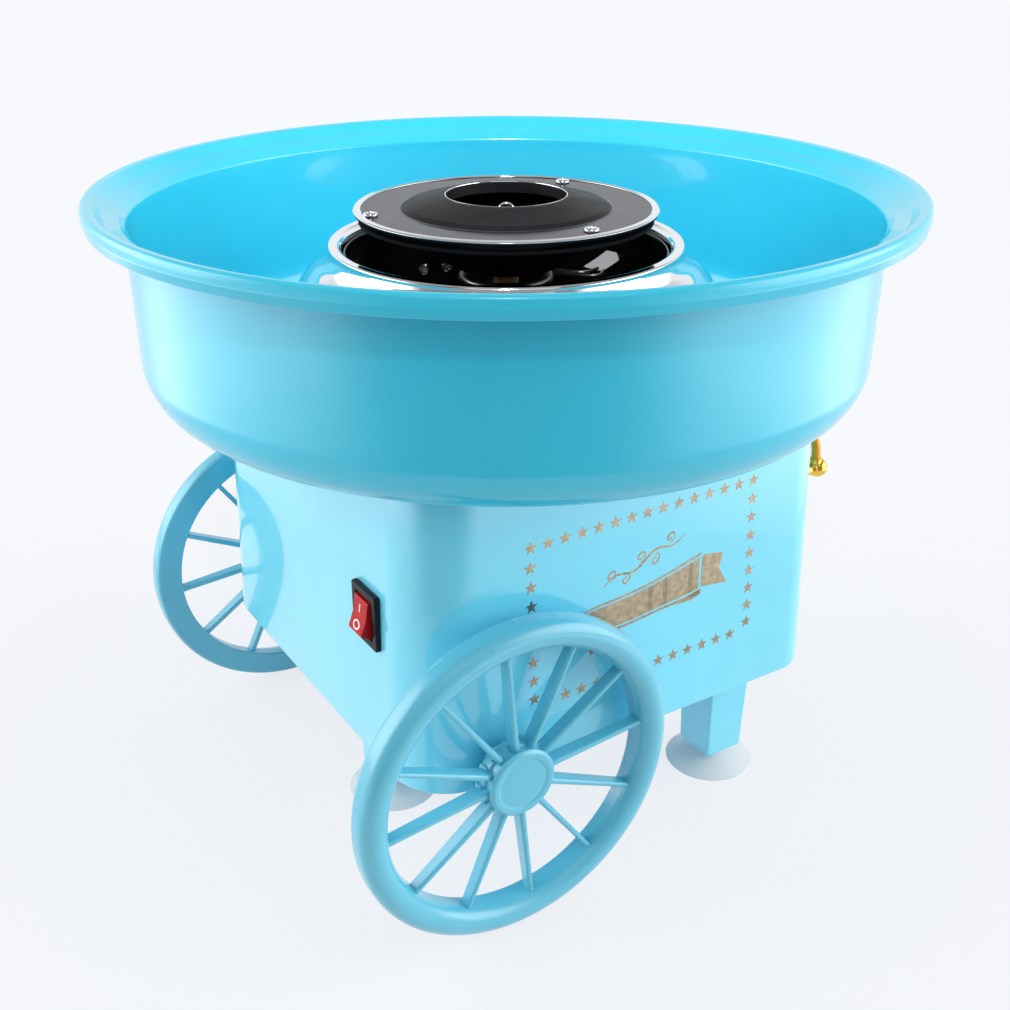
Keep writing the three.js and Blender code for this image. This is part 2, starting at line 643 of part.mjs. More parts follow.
add("motor_can", can, "steel");
[MOTOR_SCREW, -MOTOR_SCREW].forEach((x, i) => {
  add(`motor_screw_${i + 1}`, screwDown(x, 0, BRACKET_BOTTOM + BRACKET_THICK + GAP, 5.2), "steel");
});
const bellTop = MOTOR_BOTTOM - GAP;
add("motor_end_bell", revolve([
  [SHAFT_R + RUN, bellTop - 5], [8, bellTop - 5], [9, bellTop - 2.5], [MOTOR_R, bellTop - 2.5],
  [MOTOR_R, bellTop], [SHAFT_R + RUN, bellTop],
], 20), "plasticBlack");
const ROTOR_LOW = MOTOR_BOTTOM + 9;
const ROTOR_HIGH = BRACKET_BOTTOM - 10;
add("motor_rotor", revolve([
  [SHAFT_R + GAP, ROTOR_LOW - ROTOR_END], [ROTOR_END_R, ROTOR_LOW - ROTOR_END], [ROTOR_END_R, ROTOR_LOW],
  [ROTOR_R, ROTOR_LOW], [ROTOR_R, ROTOR_HIGH], [ROTOR_END_R, ROTOR_HIGH],
  [ROTOR_END_R, ROTOR_HIGH + ROTOR_END], [SHAFT_R + GAP, ROTOR_HIGH + ROTOR_END],
], 16), "brass");
add("motor_shaft", revolve([
  [0, SHAFT_BOTTOM], [SHAFT_R, SHAFT_BOTTOM], [SHAFT_R, SUGAR_PAN_FLOOR - SHOULDER_LENGTH - 1],
  [SHOULDER_R, SUGAR_PAN_FLOOR - SHOULDER_LENGTH], [SHOULDER_R, SUGAR_PAN_FLOOR - GAP],
  [SHAFT_TIP_R, SUGAR_PAN_FLOOR - GAP], [SHAFT_TIP_R, SHAFT_TIP], [0, SHAFT_TIP],
], 16), "brass");
function coolingFan() {
  const low = SHAFT_BOTTOM + 0.5;
  let fan = revolve([
    [SHAFT_R + GAP, low], [7, low], [7, low + FAN_DEPTH], [SHAFT_R + GAP, low + FAN_DEPTH],
  ], 16);
  for (let i = 0; i < 6; i++) {
    const blade = box(6, FAN_R, -4.2, 4.2, -0.7, 0.7).rotate([32, 0, 0]);
    fan = fan.add(blade.translate([0, 0, low + FAN_DEPTH / 2]).rotate([0, 0, 60 * i]));
  }
  return fan;
}
add("cooling_fan", coolingFan(), "plasticBlack");

// Spinning head: lid, sugar pan, screws, spindle nut and its wire loop
function drilled(piece, radius, low, high) {
  return HEAD_SCREW_ANGLES.reduce((rest, angle) => {
    const [x, y] = polar(HEAD_SCREW_R, angle);
    return rest.subtract(cylinder(radius, low, high, 10).translate([x, y, 0]));
  }, piece);
}
const lid = revolve([
  [HEAD_R - 0.4, HEAD_TOP - 1.7], [HEAD_R, HEAD_TOP - 1], [HEAD_R, HEAD_TOP - 0.4],
  [HEAD_R - 0.8, HEAD_TOP], [HUMP_R, HEAD_TOP], [HUMP_R - 7.6, HEAD_TOP + 2.6],
  [HEAD_MOUTH + 1.6, HUMP_TOP], [HEAD_MOUTH, HUMP_TOP], [HEAD_MOUTH, HUMP_TOP - 1.5],
  [HEAD_MOUTH + 1.3, HUMP_TOP - 1.5], [HUMP_R - 8.2, HEAD_TOP + 1.1], [HUMP_R - 0.6, HEAD_TOP - 1.5],
], 36);
add("head_lid", drilled(lid, 1.5 + BORE, HEAD_TOP - 7, HEAD_TOP + 3), "black");
const sugarPan = revolve([
  [SHAFT_TIP_R + GAP, SUGAR_PAN_FLOOR], [SUGAR_PAN_FLAT, SUGAR_PAN_FLOOR],
  [SUGAR_PAN_R - SUGAR_PAN_SLOPE, SUGAR_PAN_EDGE - 1.6], [SUGAR_PAN_R, SUGAR_PAN_EDGE],
  [SUGAR_PAN_R, SUGAR_PAN_EDGE + 1.5], [SUGAR_PAN_R - SUGAR_PAN_SLOPE - 0.7, SUGAR_PAN_EDGE],
  [SUGAR_PAN_FLAT - 0.6, SUGAR_PAN_FLOOR + SUGAR_PAN_SHEET],
  [SHAFT_TIP_R + GAP, SUGAR_PAN_FLOOR + SUGAR_PAN_SHEET],
], 30);
add("sugar_pan", drilled(sugarPan, 1.5 + BORE, SUGAR_PAN_EDGE - 5.6, SUGAR_PAN_EDGE + 4.4), "black");
HEAD_SCREW_ANGLES.forEach((angle, i) => {
  const [x, y] = polar(HEAD_SCREW_R, angle);
  const profile = [
    [0, SUGAR_PAN_EDGE - 2.2], [1.5, SUGAR_PAN_EDGE - 2.2], [1.5, SUGAR_PAN_EDGE + 1.2],
    [2.6, SUGAR_PAN_EDGE + 1.2], [2.6, HEAD_TOP - 2], [1.5, HEAD_TOP - 2], [1.5, HEAD_TOP + GAP],
    [2.8, HEAD_TOP + GAP], [2.5, HEAD_TOP + 1], [0, HEAD_TOP + 1.3],
  ];
  add(`head_screw_${i + 1}`, revolve(profile, 10).translate([x, y, 0]), "chrome");
});
const NUT_LOW = SUGAR_PAN_FLOOR + SUGAR_PAN_SHEET + GAP;
const NUT_TOP = SHAFT_TIP + 5;
const LOOP_ANGLE = -32;
const LOOP_HALF = 2.7;
function spindleNut() {
  let nut = revolve([
    [0, SHAFT_TIP + 1], [SHAFT_TIP_R + GAP, SHAFT_TIP + 1], [SHAFT_TIP_R + GAP, NUT_LOW],
    [7, NUT_LOW], [7, NUT_LOW + 3], [4.6, NUT_LOW + 4.5], [4.6, NUT_TOP - 1], [3.9, NUT_TOP], [0, NUT_TOP],
  ], 20);
  for (const side of [-1, 1]) {
    const [x, y] = polar(side * LOOP_HALF, LOOP_ANGLE);
    nut = nut.subtract(cylinder(0.6 + GAP, NUT_TOP - 2.5, NUT_TOP + 1, 10).translate([x, y, 0]));
  }
  return nut;
}
add("spindle_nut", spindleNut(), "black");
function wireLoop() {
  const path = [[-LOOP_HALF, NUT_TOP - 2.2]];
  for (let i = 0; i <= 8; i++) {
    const a = toRadians(180 - (180 * i) / 8);
    path.push([LOOP_HALF * Math.cos(a), NUT_TOP + 2.4 + LOOP_HALF * Math.sin(a)]);
  }
  path.push([LOOP_HALF, NUT_TOP - 2.2]);
  return tube(path.map(([r, z]) => [...polar(r, LOOP_ANGLE), z]), 0.6, 6);
}
add("wire_loop", wireLoop(), "chrome");

// Wheels: local +Z points away from the cart
function wheel(phase) {
  const half = RIM_DEPTH / 2;
  const rim = revolve([
    [RIM_INNER, -half], [WHEEL_R - 1.2, -half], [WHEEL_R, -half + 1.8],
    [WHEEL_R, half - 5.1], [WHEEL_R - 1.6, half - 1.7], [WHEEL_R - 4.2, half], [RIM_INNER + 3.6, half],
    [RIM_INNER + 0.4, half - 2.3],
  ], 40);
  const hub = revolve([
    [AXLE_R + RUN, -HUB_BACK], [HUB_R, -HUB_BACK], [HUB_R, -1],
    [HUB_R - HUB_STEP, -0.6], [HUB_R - HUB_STEP, 2],
    [AXLE_HEAD_R + 0.6, 2], [AXLE_HEAD_R + 0.6, -1.1], [AXLE_R + RUN, -1.1],
  ], 16);
  let body = rim.add(hub);
  for (let i = 0; i < SPOKES; i++) {
    const blade = loft([
      rectangle(SPOKE_DEPTH / 2, SPOKE_THICK / 2, 0).map(([d, w]) => [HUB_R - 2.5, w, d - 1.6]),
      rectangle(SPOKE_DEPTH / 2 - 0.5, SPOKE_THICK / 2 - 0.35, 0)
        .map(([d, w]) => [RIM_INNER + 1.5, w, d - 0.6]),
    ]);
    body = body.add(blade.rotate([0, 0, phase + (360 / SPOKES) * i]));
  }
  return body;
}
const CAP_R = HUB_R - HUB_STEP;
const hubCap = revolve([
  [0, 2 + GAP], [CAP_R, 2 + GAP], [CAP_R, 3.2], [CAP_R - 1.3, 4.1], [CAP_R - 2.9, 4.3],
  [CAP_R - 3.5, 3.9], [0, 4.2],
], 20);
const axleEnd = HOUSING_HALF - 9 - WHEEL_Y;
const axleBolt = revolve([
  [0, axleEnd], [AXLE_R - 0.6, axleEnd], [AXLE_R, axleEnd + 1], [AXLE_R, -0.7],
  [AXLE_HEAD_R, -0.7], [AXLE_HEAD_R, 1], [4.6, 1.7], [0, 1.7],
], 12);
for (const [side, turn, y] of [["near", alongMinusY, -WHEEL_Y], ["far", alongPlusY, WHEEL_Y]]) {
  const place = (piece) => turn(piece).translate([WHEEL_X, y, WHEEL_R]);
  add(`wheel_${side}`, place(wheel(side === "near" ? SPOKE_PHASE : -SPOKE_PHASE)), "blue");
  add(`hub_cap_${side}`, place(hubCap), "blueTrim");
  add(`axle_bolt_${side}`, place(axleBolt), "steel");
}

// Rocker switch
const FACE = -housingHalf(SWITCH_Z);
function switchBody() {
  const flange = loft([
    roundedRectangle(BEZEL_HALF_Z, BEZEL_HALF_Y, 1.2, GAP, 2),
    roundedRectangle(BEZEL_HALF_Z, BEZEL_HALF_Y, 1.2, BEZEL_PROUD - 0.7, 2),
    roundedRectangle(BEZEL_HALF_Z - 0.7, BEZEL_HALF_Y - 0.7, 0.9, BEZEL_PROUD, 2),
  ]);
  const block = loft([-16, 1].map((z) => rectangle(BLOCK_HALF_Z, BLOCK_HALF_Y, z)));
  const pocket = loft([-11, 5].map((z) => rectangle(POCKET_HALF_Z, POCKET_HALF_Y, z)));
  const lugs = [-5, 0, 5].map((x) => loft([rectangle(0.5, 2.2, -22, x, 0), rectangle(0.5, 2.2, -15, x, 0)]));
  // Local x is height, local z points out of the face
  return cut(join(flange, block, ...lugs), pocket)
    .rotate([0, -90, 0])
    .translate([FACE, SWITCH_Y, SWITCH_Z]);
}
add("switch_body", switchBody(), "plasticBlack");
// Rocker outline in the plane of its swing: [out of the face, height]
const PIVOT_DEPTH = 0.4;
const rockerOutline = [
  [4.2, POCKET_HALF_Z - 1.1], [2.6, 0], [4.2, 1.1 - POCKET_HALF_Z], [1.6, 0.5 - POCKET_HALF_Z],
  [-4, 2 - POCKET_HALF_Z], [-7, -1.6], [-7, 1.6], [-4, POCKET_HALF_Z - 2], [1.6, POCKET_HALF_Z - 0.5],
];
function rocker() {
  const swing = toRadians(ROCKER_THROW);
  const ring = (y) =>
    rockerOutline.map(([out, up]) => {
      const u = out - PIVOT_DEPTH;
      const turnedOut = u * Math.cos(swing) - up * Math.sin(swing);
      const turnedUp = u * Math.sin(swing) + up * Math.cos(swing);
      return [FACE - PIVOT_DEPTH - turnedOut, y, SWITCH_Z + turnedUp];
    });
  const halfY = POCKET_HALF_Y - RUN;
  return loftFan([ring(SWITCH_Y - halfY), ring(SWITCH_Y + halfY)], SWITCH_Z);
}
// Same as loft, but its end faces fan out from a middle point so that a shallow vee stays true
function loftFan(rings, height) {
  const count = rings[0].length;
  const vertices = rings.flat();
  const middle = rings.map((ring) => {
    vertices.push([ring.reduce((sum, p) => sum + p[0], 0) / count, ring[0][1], height]);
    return vertices.length - 1;
  });
  const triangles = [];
  for (let k = 0; k < count; k++) {
    const n = (k + 1) % count;
    triangles.push([k, n, n + count], [k, n + count, k + count]);
    triangles.push([middle[0], n, k], [middle[1], k + count, n + count]);
  }
  return solid(vertices, triangles);
}
add("switch_rocker", rocker(), "red");

// Push handle: two ball brackets on the end wall and an arched bar between them
function handleBar() {
  const path = [[HANDLE_X, -HANDLE_Y, HANDLE_Z + 1], [HANDLE_X, -HANDLE_Y, HANDLE_Z + HANDLE_SHOULDER - 0.5]];
  for (let i = 0; i <= 12; i++) {
    const a = toRadians(180 - 15 * i);
    const along = Math.sign(Math.cos(a)) * Math.abs(Math.cos(a)) ** 0.8;
    const up = Math.sin(a) ** 0.8;
    path.push([HANDLE_X - HANDLE_LEAN * up, HANDLE_Y * along, HANDLE_Z + HANDLE_SHOULDER + HANDLE_RISE * up]);
  }
  path.push([HANDLE_X, HANDLE_Y, HANDLE_Z + HANDLE_SHOULDER - 0.5], [HANDLE_X, HANDLE_Y, HANDLE_Z + 1]);
  return tube(path, HANDLE_BAR_R, 8);
}
const REAR = housingHalf(HANDLE_Z);
for (const [side, s] of [["near", -1], ["far", 1]]) {
  const ball = [];
  for (let i = 0; i <= 6; i++) {
    const a = toRadians(-90 + (180 * i) / 6);
    ball.push([i % 6 === 0 ? 0 : BALL_R * Math.cos(a), BALL_R * Math.sin(a)]);
  }
  const sphere = revolve(ball, 12).translate([HANDLE_X, s * HANDLE_Y, HANDLE_Z]);
  const stem = alongX(cylinder(2.4, REAR - 5, HANDLE_X - 2, 12));
  const collar = alongX(cylinder(3.4, REAR + GAP, REAR + 2.3, 12));
  const socket = cylinder(HANDLE_BAR_R + GAP, HANDLE_Z + 0.7, HANDLE_Z + 8, 12);
  const bore = alongX(cylinder(1 + BORE, REAR - 6, REAR + 6, 10)).translate([0, s * HANDLE_Y, HANDLE_Z]);
  const body = join(sphere, join(stem, collar).translate([0, s * HANDLE_Y, HANDLE_Z]));
  add(`handle_bracket_${side}`, cut(body, socket.translate([HANDLE_X, s * HANDLE_Y, 0]), bore), "gold");
  const screw = revolve([
    [0, REAR - 7], [3.2, REAR - 7], [4.2, REAR - 6.4], [4.2, REAR - 5 - GAP], [1, REAR - 5 - GAP],
    [1, REAR + 4], [0, REAR + 4],
  ], 8);
  add(`handle_screw_${side}`, alongX(screw).translate([0, s * HANDLE_Y, HANDLE_Z]), "steel");
}
add("handle_bar", handleBar(), "gold");

// Grommet where the supply cord enters
const INLET_FACE = housingHalf(INLET_Z);
add("cord_inlet_grommet", alongX(revolve([
  [2.6, INLET_FACE - 6], [6.2, INLET_FACE - 6], [6.4, INLET_FACE - WALL - GAP - 0.1],
  [INLET_R, INLET_FACE - WALL - GAP - 0.1], [INLET_R, INLET_FACE + GAP + 0.1], [6.4, INLET_FACE + GAP + 0.1],
  [6, INLET_FACE + 2.4], [2.6, INLET_FACE + 2.8],
], 16)).translate([0, INLET_Y, INLET_Z]), "plasticBlack");

export default group;
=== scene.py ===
import bmesh
import bpy
import math
from mathutils import Matrix, Vector

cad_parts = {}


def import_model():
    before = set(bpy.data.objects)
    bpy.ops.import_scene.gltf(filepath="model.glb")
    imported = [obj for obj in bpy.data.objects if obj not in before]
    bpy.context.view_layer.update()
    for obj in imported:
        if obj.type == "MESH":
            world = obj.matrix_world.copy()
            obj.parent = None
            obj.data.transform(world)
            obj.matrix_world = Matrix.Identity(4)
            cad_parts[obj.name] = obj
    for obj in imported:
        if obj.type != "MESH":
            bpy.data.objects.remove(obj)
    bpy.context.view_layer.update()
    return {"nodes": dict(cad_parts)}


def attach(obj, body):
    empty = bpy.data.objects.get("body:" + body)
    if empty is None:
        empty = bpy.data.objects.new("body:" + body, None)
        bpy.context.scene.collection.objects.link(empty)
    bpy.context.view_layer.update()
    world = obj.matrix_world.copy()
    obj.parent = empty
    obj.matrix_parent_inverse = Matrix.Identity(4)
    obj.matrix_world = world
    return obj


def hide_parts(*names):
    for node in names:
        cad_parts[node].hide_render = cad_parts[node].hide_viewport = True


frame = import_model()

MM = 0.001

# Sizes in millimetres, the same as the CAD part's
HOUSING_BOTTOM = 56
HOUSING_TOP = 172.4
HOUSING_HALF = 92
HOUSING_TOP_HALF = 89.2
FRONT_CORNER = 23
REAR_CORNER = 15.5
BOWL_FLOOR = 172.7
RIM_TOP = 247.3
WHEEL_X = -59.1
WHEEL_Y = 102
WHEEL_R = 63.1
SWITCH_Y = -53.7
SWITCH_Z = 115.5
HANDLE_X = 106.5
HANDLE_Y = 70
HANDLE_Z = 131.4
PAN_R = 60.8
HEATER_R = 16.5
HEATER_ANGLE = 62  # middle of the gap between the heating element's ends, in degrees from +X
HEATER_GAP = 17  # from there to each end
LOOP_ANGLE = -32

# How far a smooth face may bend before its edge is kept sharp
SHARP_ANGLE = math.radians(32)


def housing_half(z):
    share = (z - HOUSING_BOTTOM) / (HOUSING_TOP - HOUSING_BOTTOM)
    return HOUSING_HALF + (HOUSING_TOP_HALF - HOUSING_HALF) * share


def add_object(name, data):
    thing = bpy.data.objects.new(name, data)
    bpy.context.scene.collection.objects.link(thing)
    return thing


# Camera, fitted to the photo's outlines
CAMERA_PLACE = (-0.25474, -0.40408, 0.34223)
CAMERA_YAW = math.radians(32.174)
CAMERA_PITCH = math.radians(-25.637)
CAMERA_LENS = 45.26


def make_camera():
    yaw, pitch = CAMERA_YAW, CAMERA_PITCH
    forward = Vector((math.sin(yaw) * math.cos(pitch), math.cos(yaw) * math.cos(pitch), math.sin(pitch)))
    right = Vector((math.cos(yaw), -math.sin(yaw), 0))
    up = right.cross(forward)
    data = bpy.data.cameras.new("camera")
    data.sensor_width = 36
    data.lens = CAMERA_LENS
    data.clip_start = 0.01
    data.clip_end = 100
    camera = add_object("camera", data)
    turn = Matrix((right, up, -forward)).transposed().to_4x4()
    camera.matrix_world = Matrix.Translation(CAMERA_PLACE) @ turn
    bpy.context.scene.camera = camera


make_camera()


# Materials
NOISE_LOW, NOISE_HIGH = 0.3, 0.7  # most of a noise texture's values lie between these


class Look:
    """A procedural material around one Principled shader"""

    def __init__(self, name):
        self.material = bpy.data.materials.new(name)
        self.material.use_nodes = True
        self.nodes = self.material.node_tree.nodes
        self.links = self.material.node_tree.links
        self.shader = self.nodes["Principled BSDF"]
        self.place = self.nodes.new("ShaderNodeTexCoord").outputs["Object"]

    def set(self, **values):
        for key, value in values.items():
            self.shader.inputs[key.replace("_", " ")].default_value = value
        return self

    def noise(self, scale, detail, stretch):
        node = self.nodes.new("ShaderNodeTexNoise")
        node.inputs["Scale"].default_value = scale
        node.inputs["Detail"].default_value = detail
        place = self.place
        if stretch:
            mapping = self.nodes.new("ShaderNodeMapping")
            mapping.inputs["Scale"].default_value = stretch
            self.links.new(place, mapping.inputs["Vector"])
            place = mapping.outputs["Vector"]
        self.links.new(place, node.inputs["Vector"])
        return node.outputs["Fac"]

    def colour(self, source, low, high):
        ramp = self.nodes.new("ShaderNodeValToRGB")
        for stop, place, tint in zip(ramp.color_ramp.elements, (NOISE_LOW, NOISE_HIGH), (low, high)):
            stop.position = place
            stop.color = (*tint, 1)
        self.links.new(source, ramp.inputs["Fac"])
        self.links.new(ramp.outputs["Color"], self.shader.inputs["Base Color"])
        return self

    def rough(self, source, low, high):
        node = self.nodes.new("ShaderNodeMapRange")
        set_range(node, NOISE_LOW, NOISE_HIGH, low, high)
        self.links.new(source, node.inputs["Value"])
        self.links.new(node.outputs["Result"], self.shader.inputs["Roughness"])
        return self

    def bump(self, source, strength, distance):
        node = self.nodes.new("ShaderNodeBump")
        node.inputs["Strength"].default_value = strength
        node.inputs["Distance"].default_value = distance
        self.links.new(source, node.inputs["Height"])
        self.links.new(node.outputs["Normal"], self.shader.inputs["Normal"])
        return self


def set_range(node, start, end, low, high):
    for socket, value in (("From Min", start), ("From Max", end), ("To Min", low), ("To Max", high)):
        node.inputs[socket].default_value = value


def tinted(colour, factor):
    return tuple(min(1.0, c * factor) for c in colour)


def surface(name, tint, rough=None, bump=None, stretch=None, **values):
    """tint, rough and bump start with the scale and detail of their noise.

    tint and rough end with two limits, and bump with its strength and its depth in metres.
    """
    look = Look(name)
    look.set(**values)
    look.colour(look.noise(*tint[:2], stretch), *tint[2:])
    if rough:
        look.rough(look.noise(*rough[:2], stretch), *rough[2:])
    if bump:
        look.bump(look.noise(*bump[:2], stretch), *bump[2:])
    return look.material


def plastic(name, colour, roughness, coat, grain=1300, depth=0.00004, spread=0.05, **values):
    values = {"Coat_Roughness": 0.04, **values}
    return surface(name, (14, 3, tinted(colour, 1 - spread), tinted(colour, 1 + spread)),
                   (60, 3, roughness - 0.03, roughness + 0.03), (grain, 2, 0.15, depth),
                   Coat_Weight=coat, **values)


def metal(name, colour, roughness, spread=0.05, stretch=None, scale=90, metallic=1.0):
    return surface(name, (scale, 3, tinted(colour, 1 - spread), tinted(colour, 1 + spread)),
                   (scale * 3, 3, max(roughness - 0.02, 0.01), roughness + 0.03),
                   (scale * 10, 2, 0.1, 0.00003), stretch, Metallic=metallic)


def enamel(name, low, high, roughness, ior):
    return surface(name, (40, 4, low, high), (120, 3, roughness - 0.03, roughness + 0.05),
                   (700, 3, 0.1, 0.00004), IOR=ior)


blue_gloss = plastic("blue_gloss", (0.035, 0.58, 0.80), 0.24, 0.55)
blue_housing = plastic("blue_housing", (0.17, 0.74, 0.94), 0.24, 1.0, Coat_IOR=1.6)
blue_satin = plastic("blue_satin", (0.12, 0.53, 0.70), 0.3, 0.6, grain=900, depth=0.00008,
                     Coat_Roughness=0.16)
blue_trim = plastic("blue_trim", (0.05, 0.55, 0.78), 0.32, 0.0)
black_plastic = plastic("black_plastic", (0.008, 0.008, 0.011), 0.42, 0.0, spread=0.3, IOR=1.3)

chrome = metal("chrome", (0.86, 0.87, 0.88), 0.05, 0.02)
steel = metal("zinc_steel", (0.62, 0.63, 0.64), 0.3, 0.08)
gold = metal("gold_plate", (0.88, 0.56, 0.11), 0.11)
brass = metal("brass", (0.62, 0.40, 0.17), 0.22, 0.1, metallic=0.5)
copper = metal("copper_winding", (0.72, 0.36, 0.2), 0.3, 0.15, stretch=(1, 1, 12))
foil = metal("foil", (0.38, 0.32, 0.22), 0.42, 0.22, scale=420)

black_enamel = enamel("black_enamel", (0.006, 0.006, 0.007), (0.012, 0.012, 0.013), 0.2, 1.5)
black_gloss = enamel("black_gloss", (0.012, 0.013, 0.018), (0.020, 0.022, 0.029), 0.12, 1.25)
black_satin = enamel("black_satin", (0.008, 0.008, 0.010), (0.014, 0.014, 0.017), 0.42, 1.24)
black_matt = enamel("black_matt", (0.004, 0.004, 0.005), (0.008, 0.008, 0.009), 0.65, 1.15)

silicone = surface("clear_silicone", (60, 2, (0.93, 0.945, 0.955), (0.97, 0.98, 0.985)),
                   bump=(500, 2, 0.1, 0.0001), IOR=1.41, Transmission_Weight=0.2, Roughness=0.35)
gold_bar = surface("gold_bar", (90, 3, (0.80, 0.34, 0.02), (0.90, 0.42, 0.035)), (300, 3, 0.36, 0.46),
                   (900, 2, 0.1, 0.00003), Metallic=0.25)
red = surface("red_rocker", (220, 2, (0.44, 0.008, 0.012), (0.55, 0.014, 0.018)), (400, 2, 0.24, 0.34),
              (1500, 2, 0.1, 0.00003), IOR=1.25)
ceramic = surface("ceramic", (300, 4, (0.72, 0.68, 0.58), (0.86, 0.82, 0.74)), (500, 2, 0.55, 0.75),
                  (1800, 3, 0.3, 0.00006))
sheath = surface("heater_sheath", (160, 4, (0.10, 0.095, 0.09), (0.30, 0.28, 0.27)), (220, 3, 0.25, 0.45),
                 (1200, 3, 0.2, 0.00005), Metallic=1.0)
mark = surface("mark_white", (800, 2, (0.80, 0.78, 0.76), (0.90, 0.88, 0.86)), (900, 2, 0.4, 0.5))


# Geometry helpers. Points are (across, up) pairs or (x, y, z) in millimetres.
def rounded(points, steps=6, closed=True):
    """Corner points, where a third value is the corner's radius"""
    out = []
    count = len(points)
    for i, point in enumerate(points):
        corner = Vector(point[:2])
        radius = point[2] if len(point) > 2 else 0
        if radius == 0 or (not closed and i in (0, count - 1)):
            out.append(tuple(corner))
            continue
        a = Vector(points[i - 1][:2]) - corner
        b = Vector(points[(i + 1) % count][:2]) - corner
        room = 0.49 * min(a.length, b.length)
        a.normalize()
        b.normalize()
        angle = math.acos(max(-1, min(1, a.dot(b))))
        if angle > math.pi - 0.03:
            out.append(tuple(corner))
            continue
        reach = min(radius / math.tan(angle / 2), room)
        arc = reach * math.tan(angle / 2)
        centre = corner + (a + b).normalized() * (arc / math.sin(angle / 2))
        first = corner + a * reach - centre
        last = corner + b * reach - centre
        start = math.atan2(first.y, first.x)
        sweep = math.atan2(last.y, last.x) - start
        sweep = (sweep + math.pi) % (2 * math.pi) - math.pi
        for k in range(steps + 1):
            turn = start + sweep * k / steps
            out.append((centre.x + arc * math.cos(turn), centre.y + arc * math.sin(turn)))
    return out


def ellipse(cx, cz, rx, rz, start, end, steps):
    """Arc of an ellipse between two angles in degrees"""
    out = []
    for k in range(steps + 1):
        a = math.radians(start + (end - start) * k / steps)
        out.append((cx + rx * math.cos(a), cz + rz * math.sin(a)))
    return out


def smooth_line(points, steps):
    """Catmull-Rom curve through points, with this many steps from one to the next"""
    out = []
    for i in range(len(points) - 1):
        p0 = Vector(points[max(i - 1, 0)])
        p1 = Vector(points[i])
        p2 = Vector(points[i + 1])
        p3 = Vector(points[min(i + 2, len(points) - 1)])
        for k in range(steps):
            t = k / steps
            value = 0.5 * (2 * p1 + (p2 - p0) * t + (2 * p0 - 5 * p1 + 4 * p2 - p3) * t * t
                           + (3 * p1 - p0 - 3 * p2 + p3) * t ** 3)
            out.append(tuple(value))
    out.append(tuple(points[-1]))
    return out


class Shape:
    """Vertices and faces of one piece, in millimetres"""

    def __init__(self):
        self.vertices = []
        self.faces = []

    def add(self, vertices, faces):
        base = len(self.vertices)
        self.vertices.extend(vertices)
        self.faces.extend([tuple(base + i for i in face) for face in faces])
        return self

    def lathe(self, profile, segments, closed=True):
        """Turns (radius, z) points around the Z axis"""
        vertices = []
        rows = []
        for r, z in profile:
            if r < 1e-6:
                rows.append([len(vertices)] * segments)
                vertices.append((0, 0, z))
                continue
            row = []
            for k in range(segments):
                a = 2 * math.pi * k / segments
                row.append(len(vertices))
                vertices.append((r * math.cos(a), r * math.sin(a), z))
            rows.append(row)
        faces = []
        spans = len(rows) if closed else len(rows) - 1
        for i in range(spans):
            low, high = rows[i], rows[(i + 1) % len(rows)]
            if low[0] == low[1] and high[0] == high[1]:
                continue
            for k in range(segments):
                n = (k + 1) % segments
                face = [low[k], low[n], high[n], high[k]]
                unique = list(dict.fromkeys(face))
                if len(unique) > 2:
                    faces.append(tuple(unique))
        return self.add(vertices, faces)

    def loft(self, rings, closed=False):
        """Joins rings of points to one skin, with flat ends or closed to a loop"""
        count = len(rings[0])
        vertices = [p for ring in rings for p in ring]
        faces = []
        spans = len(rings) if closed else len(rings) - 1
        for i in range(spans):
            j = (i + 1) % len(rings)
            for k in range(count):
                n = (k + 1) % count
                faces.append((i * count + k, i * count + n, j * count + n, j * count + k))
        if not closed:
            faces.append(tuple(reversed(range(count))))
            faces.append(tuple((len(rings) - 1) * count + k for k in range(count)))
        return self.add(vertices, faces)

    def move(self, change):
        self.vertices = [tuple(change(*v)) for v in self.vertices]
        return self

    def shift(self, x, y, z=0):
        return self.move(lambda px, py, pz: (px + x, py + y, pz + z))

    def turn(self, a):
        cos, sin = math.cos(a), math.sin(a)
        return self.move(lambda x, y, z: (x * cos - y * sin, x * sin + y * cos, z))

    def merge(self, other):
        return self.add(other.vertices, other.faces)

    def piece(self, name, body, material, slot, *nodes, weighted=True):
        """Makes the object, which rides on the body and replaces the named CAD nodes"""
        mesh = bpy.data.meshes.new(name)
        mesh.from_pydata([tuple(c * MM for c in v) for v in self.vertices], [], self.faces)
        mesh.validate()
        mesh.update()
        bm = bmesh.new()
        bm.from_mesh(mesh)
        bmesh.ops.remove_doubles(bm, verts=bm.verts, dist=1e-7)
        bmesh.ops.recalc_face_normals(bm, faces=bm.faces)
        bm.to_mesh(mesh)
        bm.free()
        mesh.materials.append(material)
        mesh.shade_smooth()
        mesh.set_sharp_from_angle(angle=SHARP_ANGLE)
        thing = add_object(name, mesh)
        if weighted:
            modifier = thing.modifiers.new("normals", "WEIGHTED_NORMAL")
            modifier.keep_sharp = True
            modifier.weight = 80
        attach(thing, body)
        if nodes:
            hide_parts(*nodes)
        return thing


def rounded_square(half_x, half_y, front, z, steps, rear=None):
    """Rounded rectangle at height z; front is the radius of the corners, rear that of those at +X"""
    ring = []
    for sx, sy, start in ((1, 1, 0), (-1, 1, 90), (-1, -1, 180), (1, -1, 270)):
        radius = front if sx < 0 or rear is None else rear
        for k in range(steps + 1):
            a = math.radians(start + 90 * k / steps)
            ring.append((sx * (half_x - radius) + radius * math.cos(a),
                         sy * (half_y - radius) + radius * math.sin(a), z))
    return ring


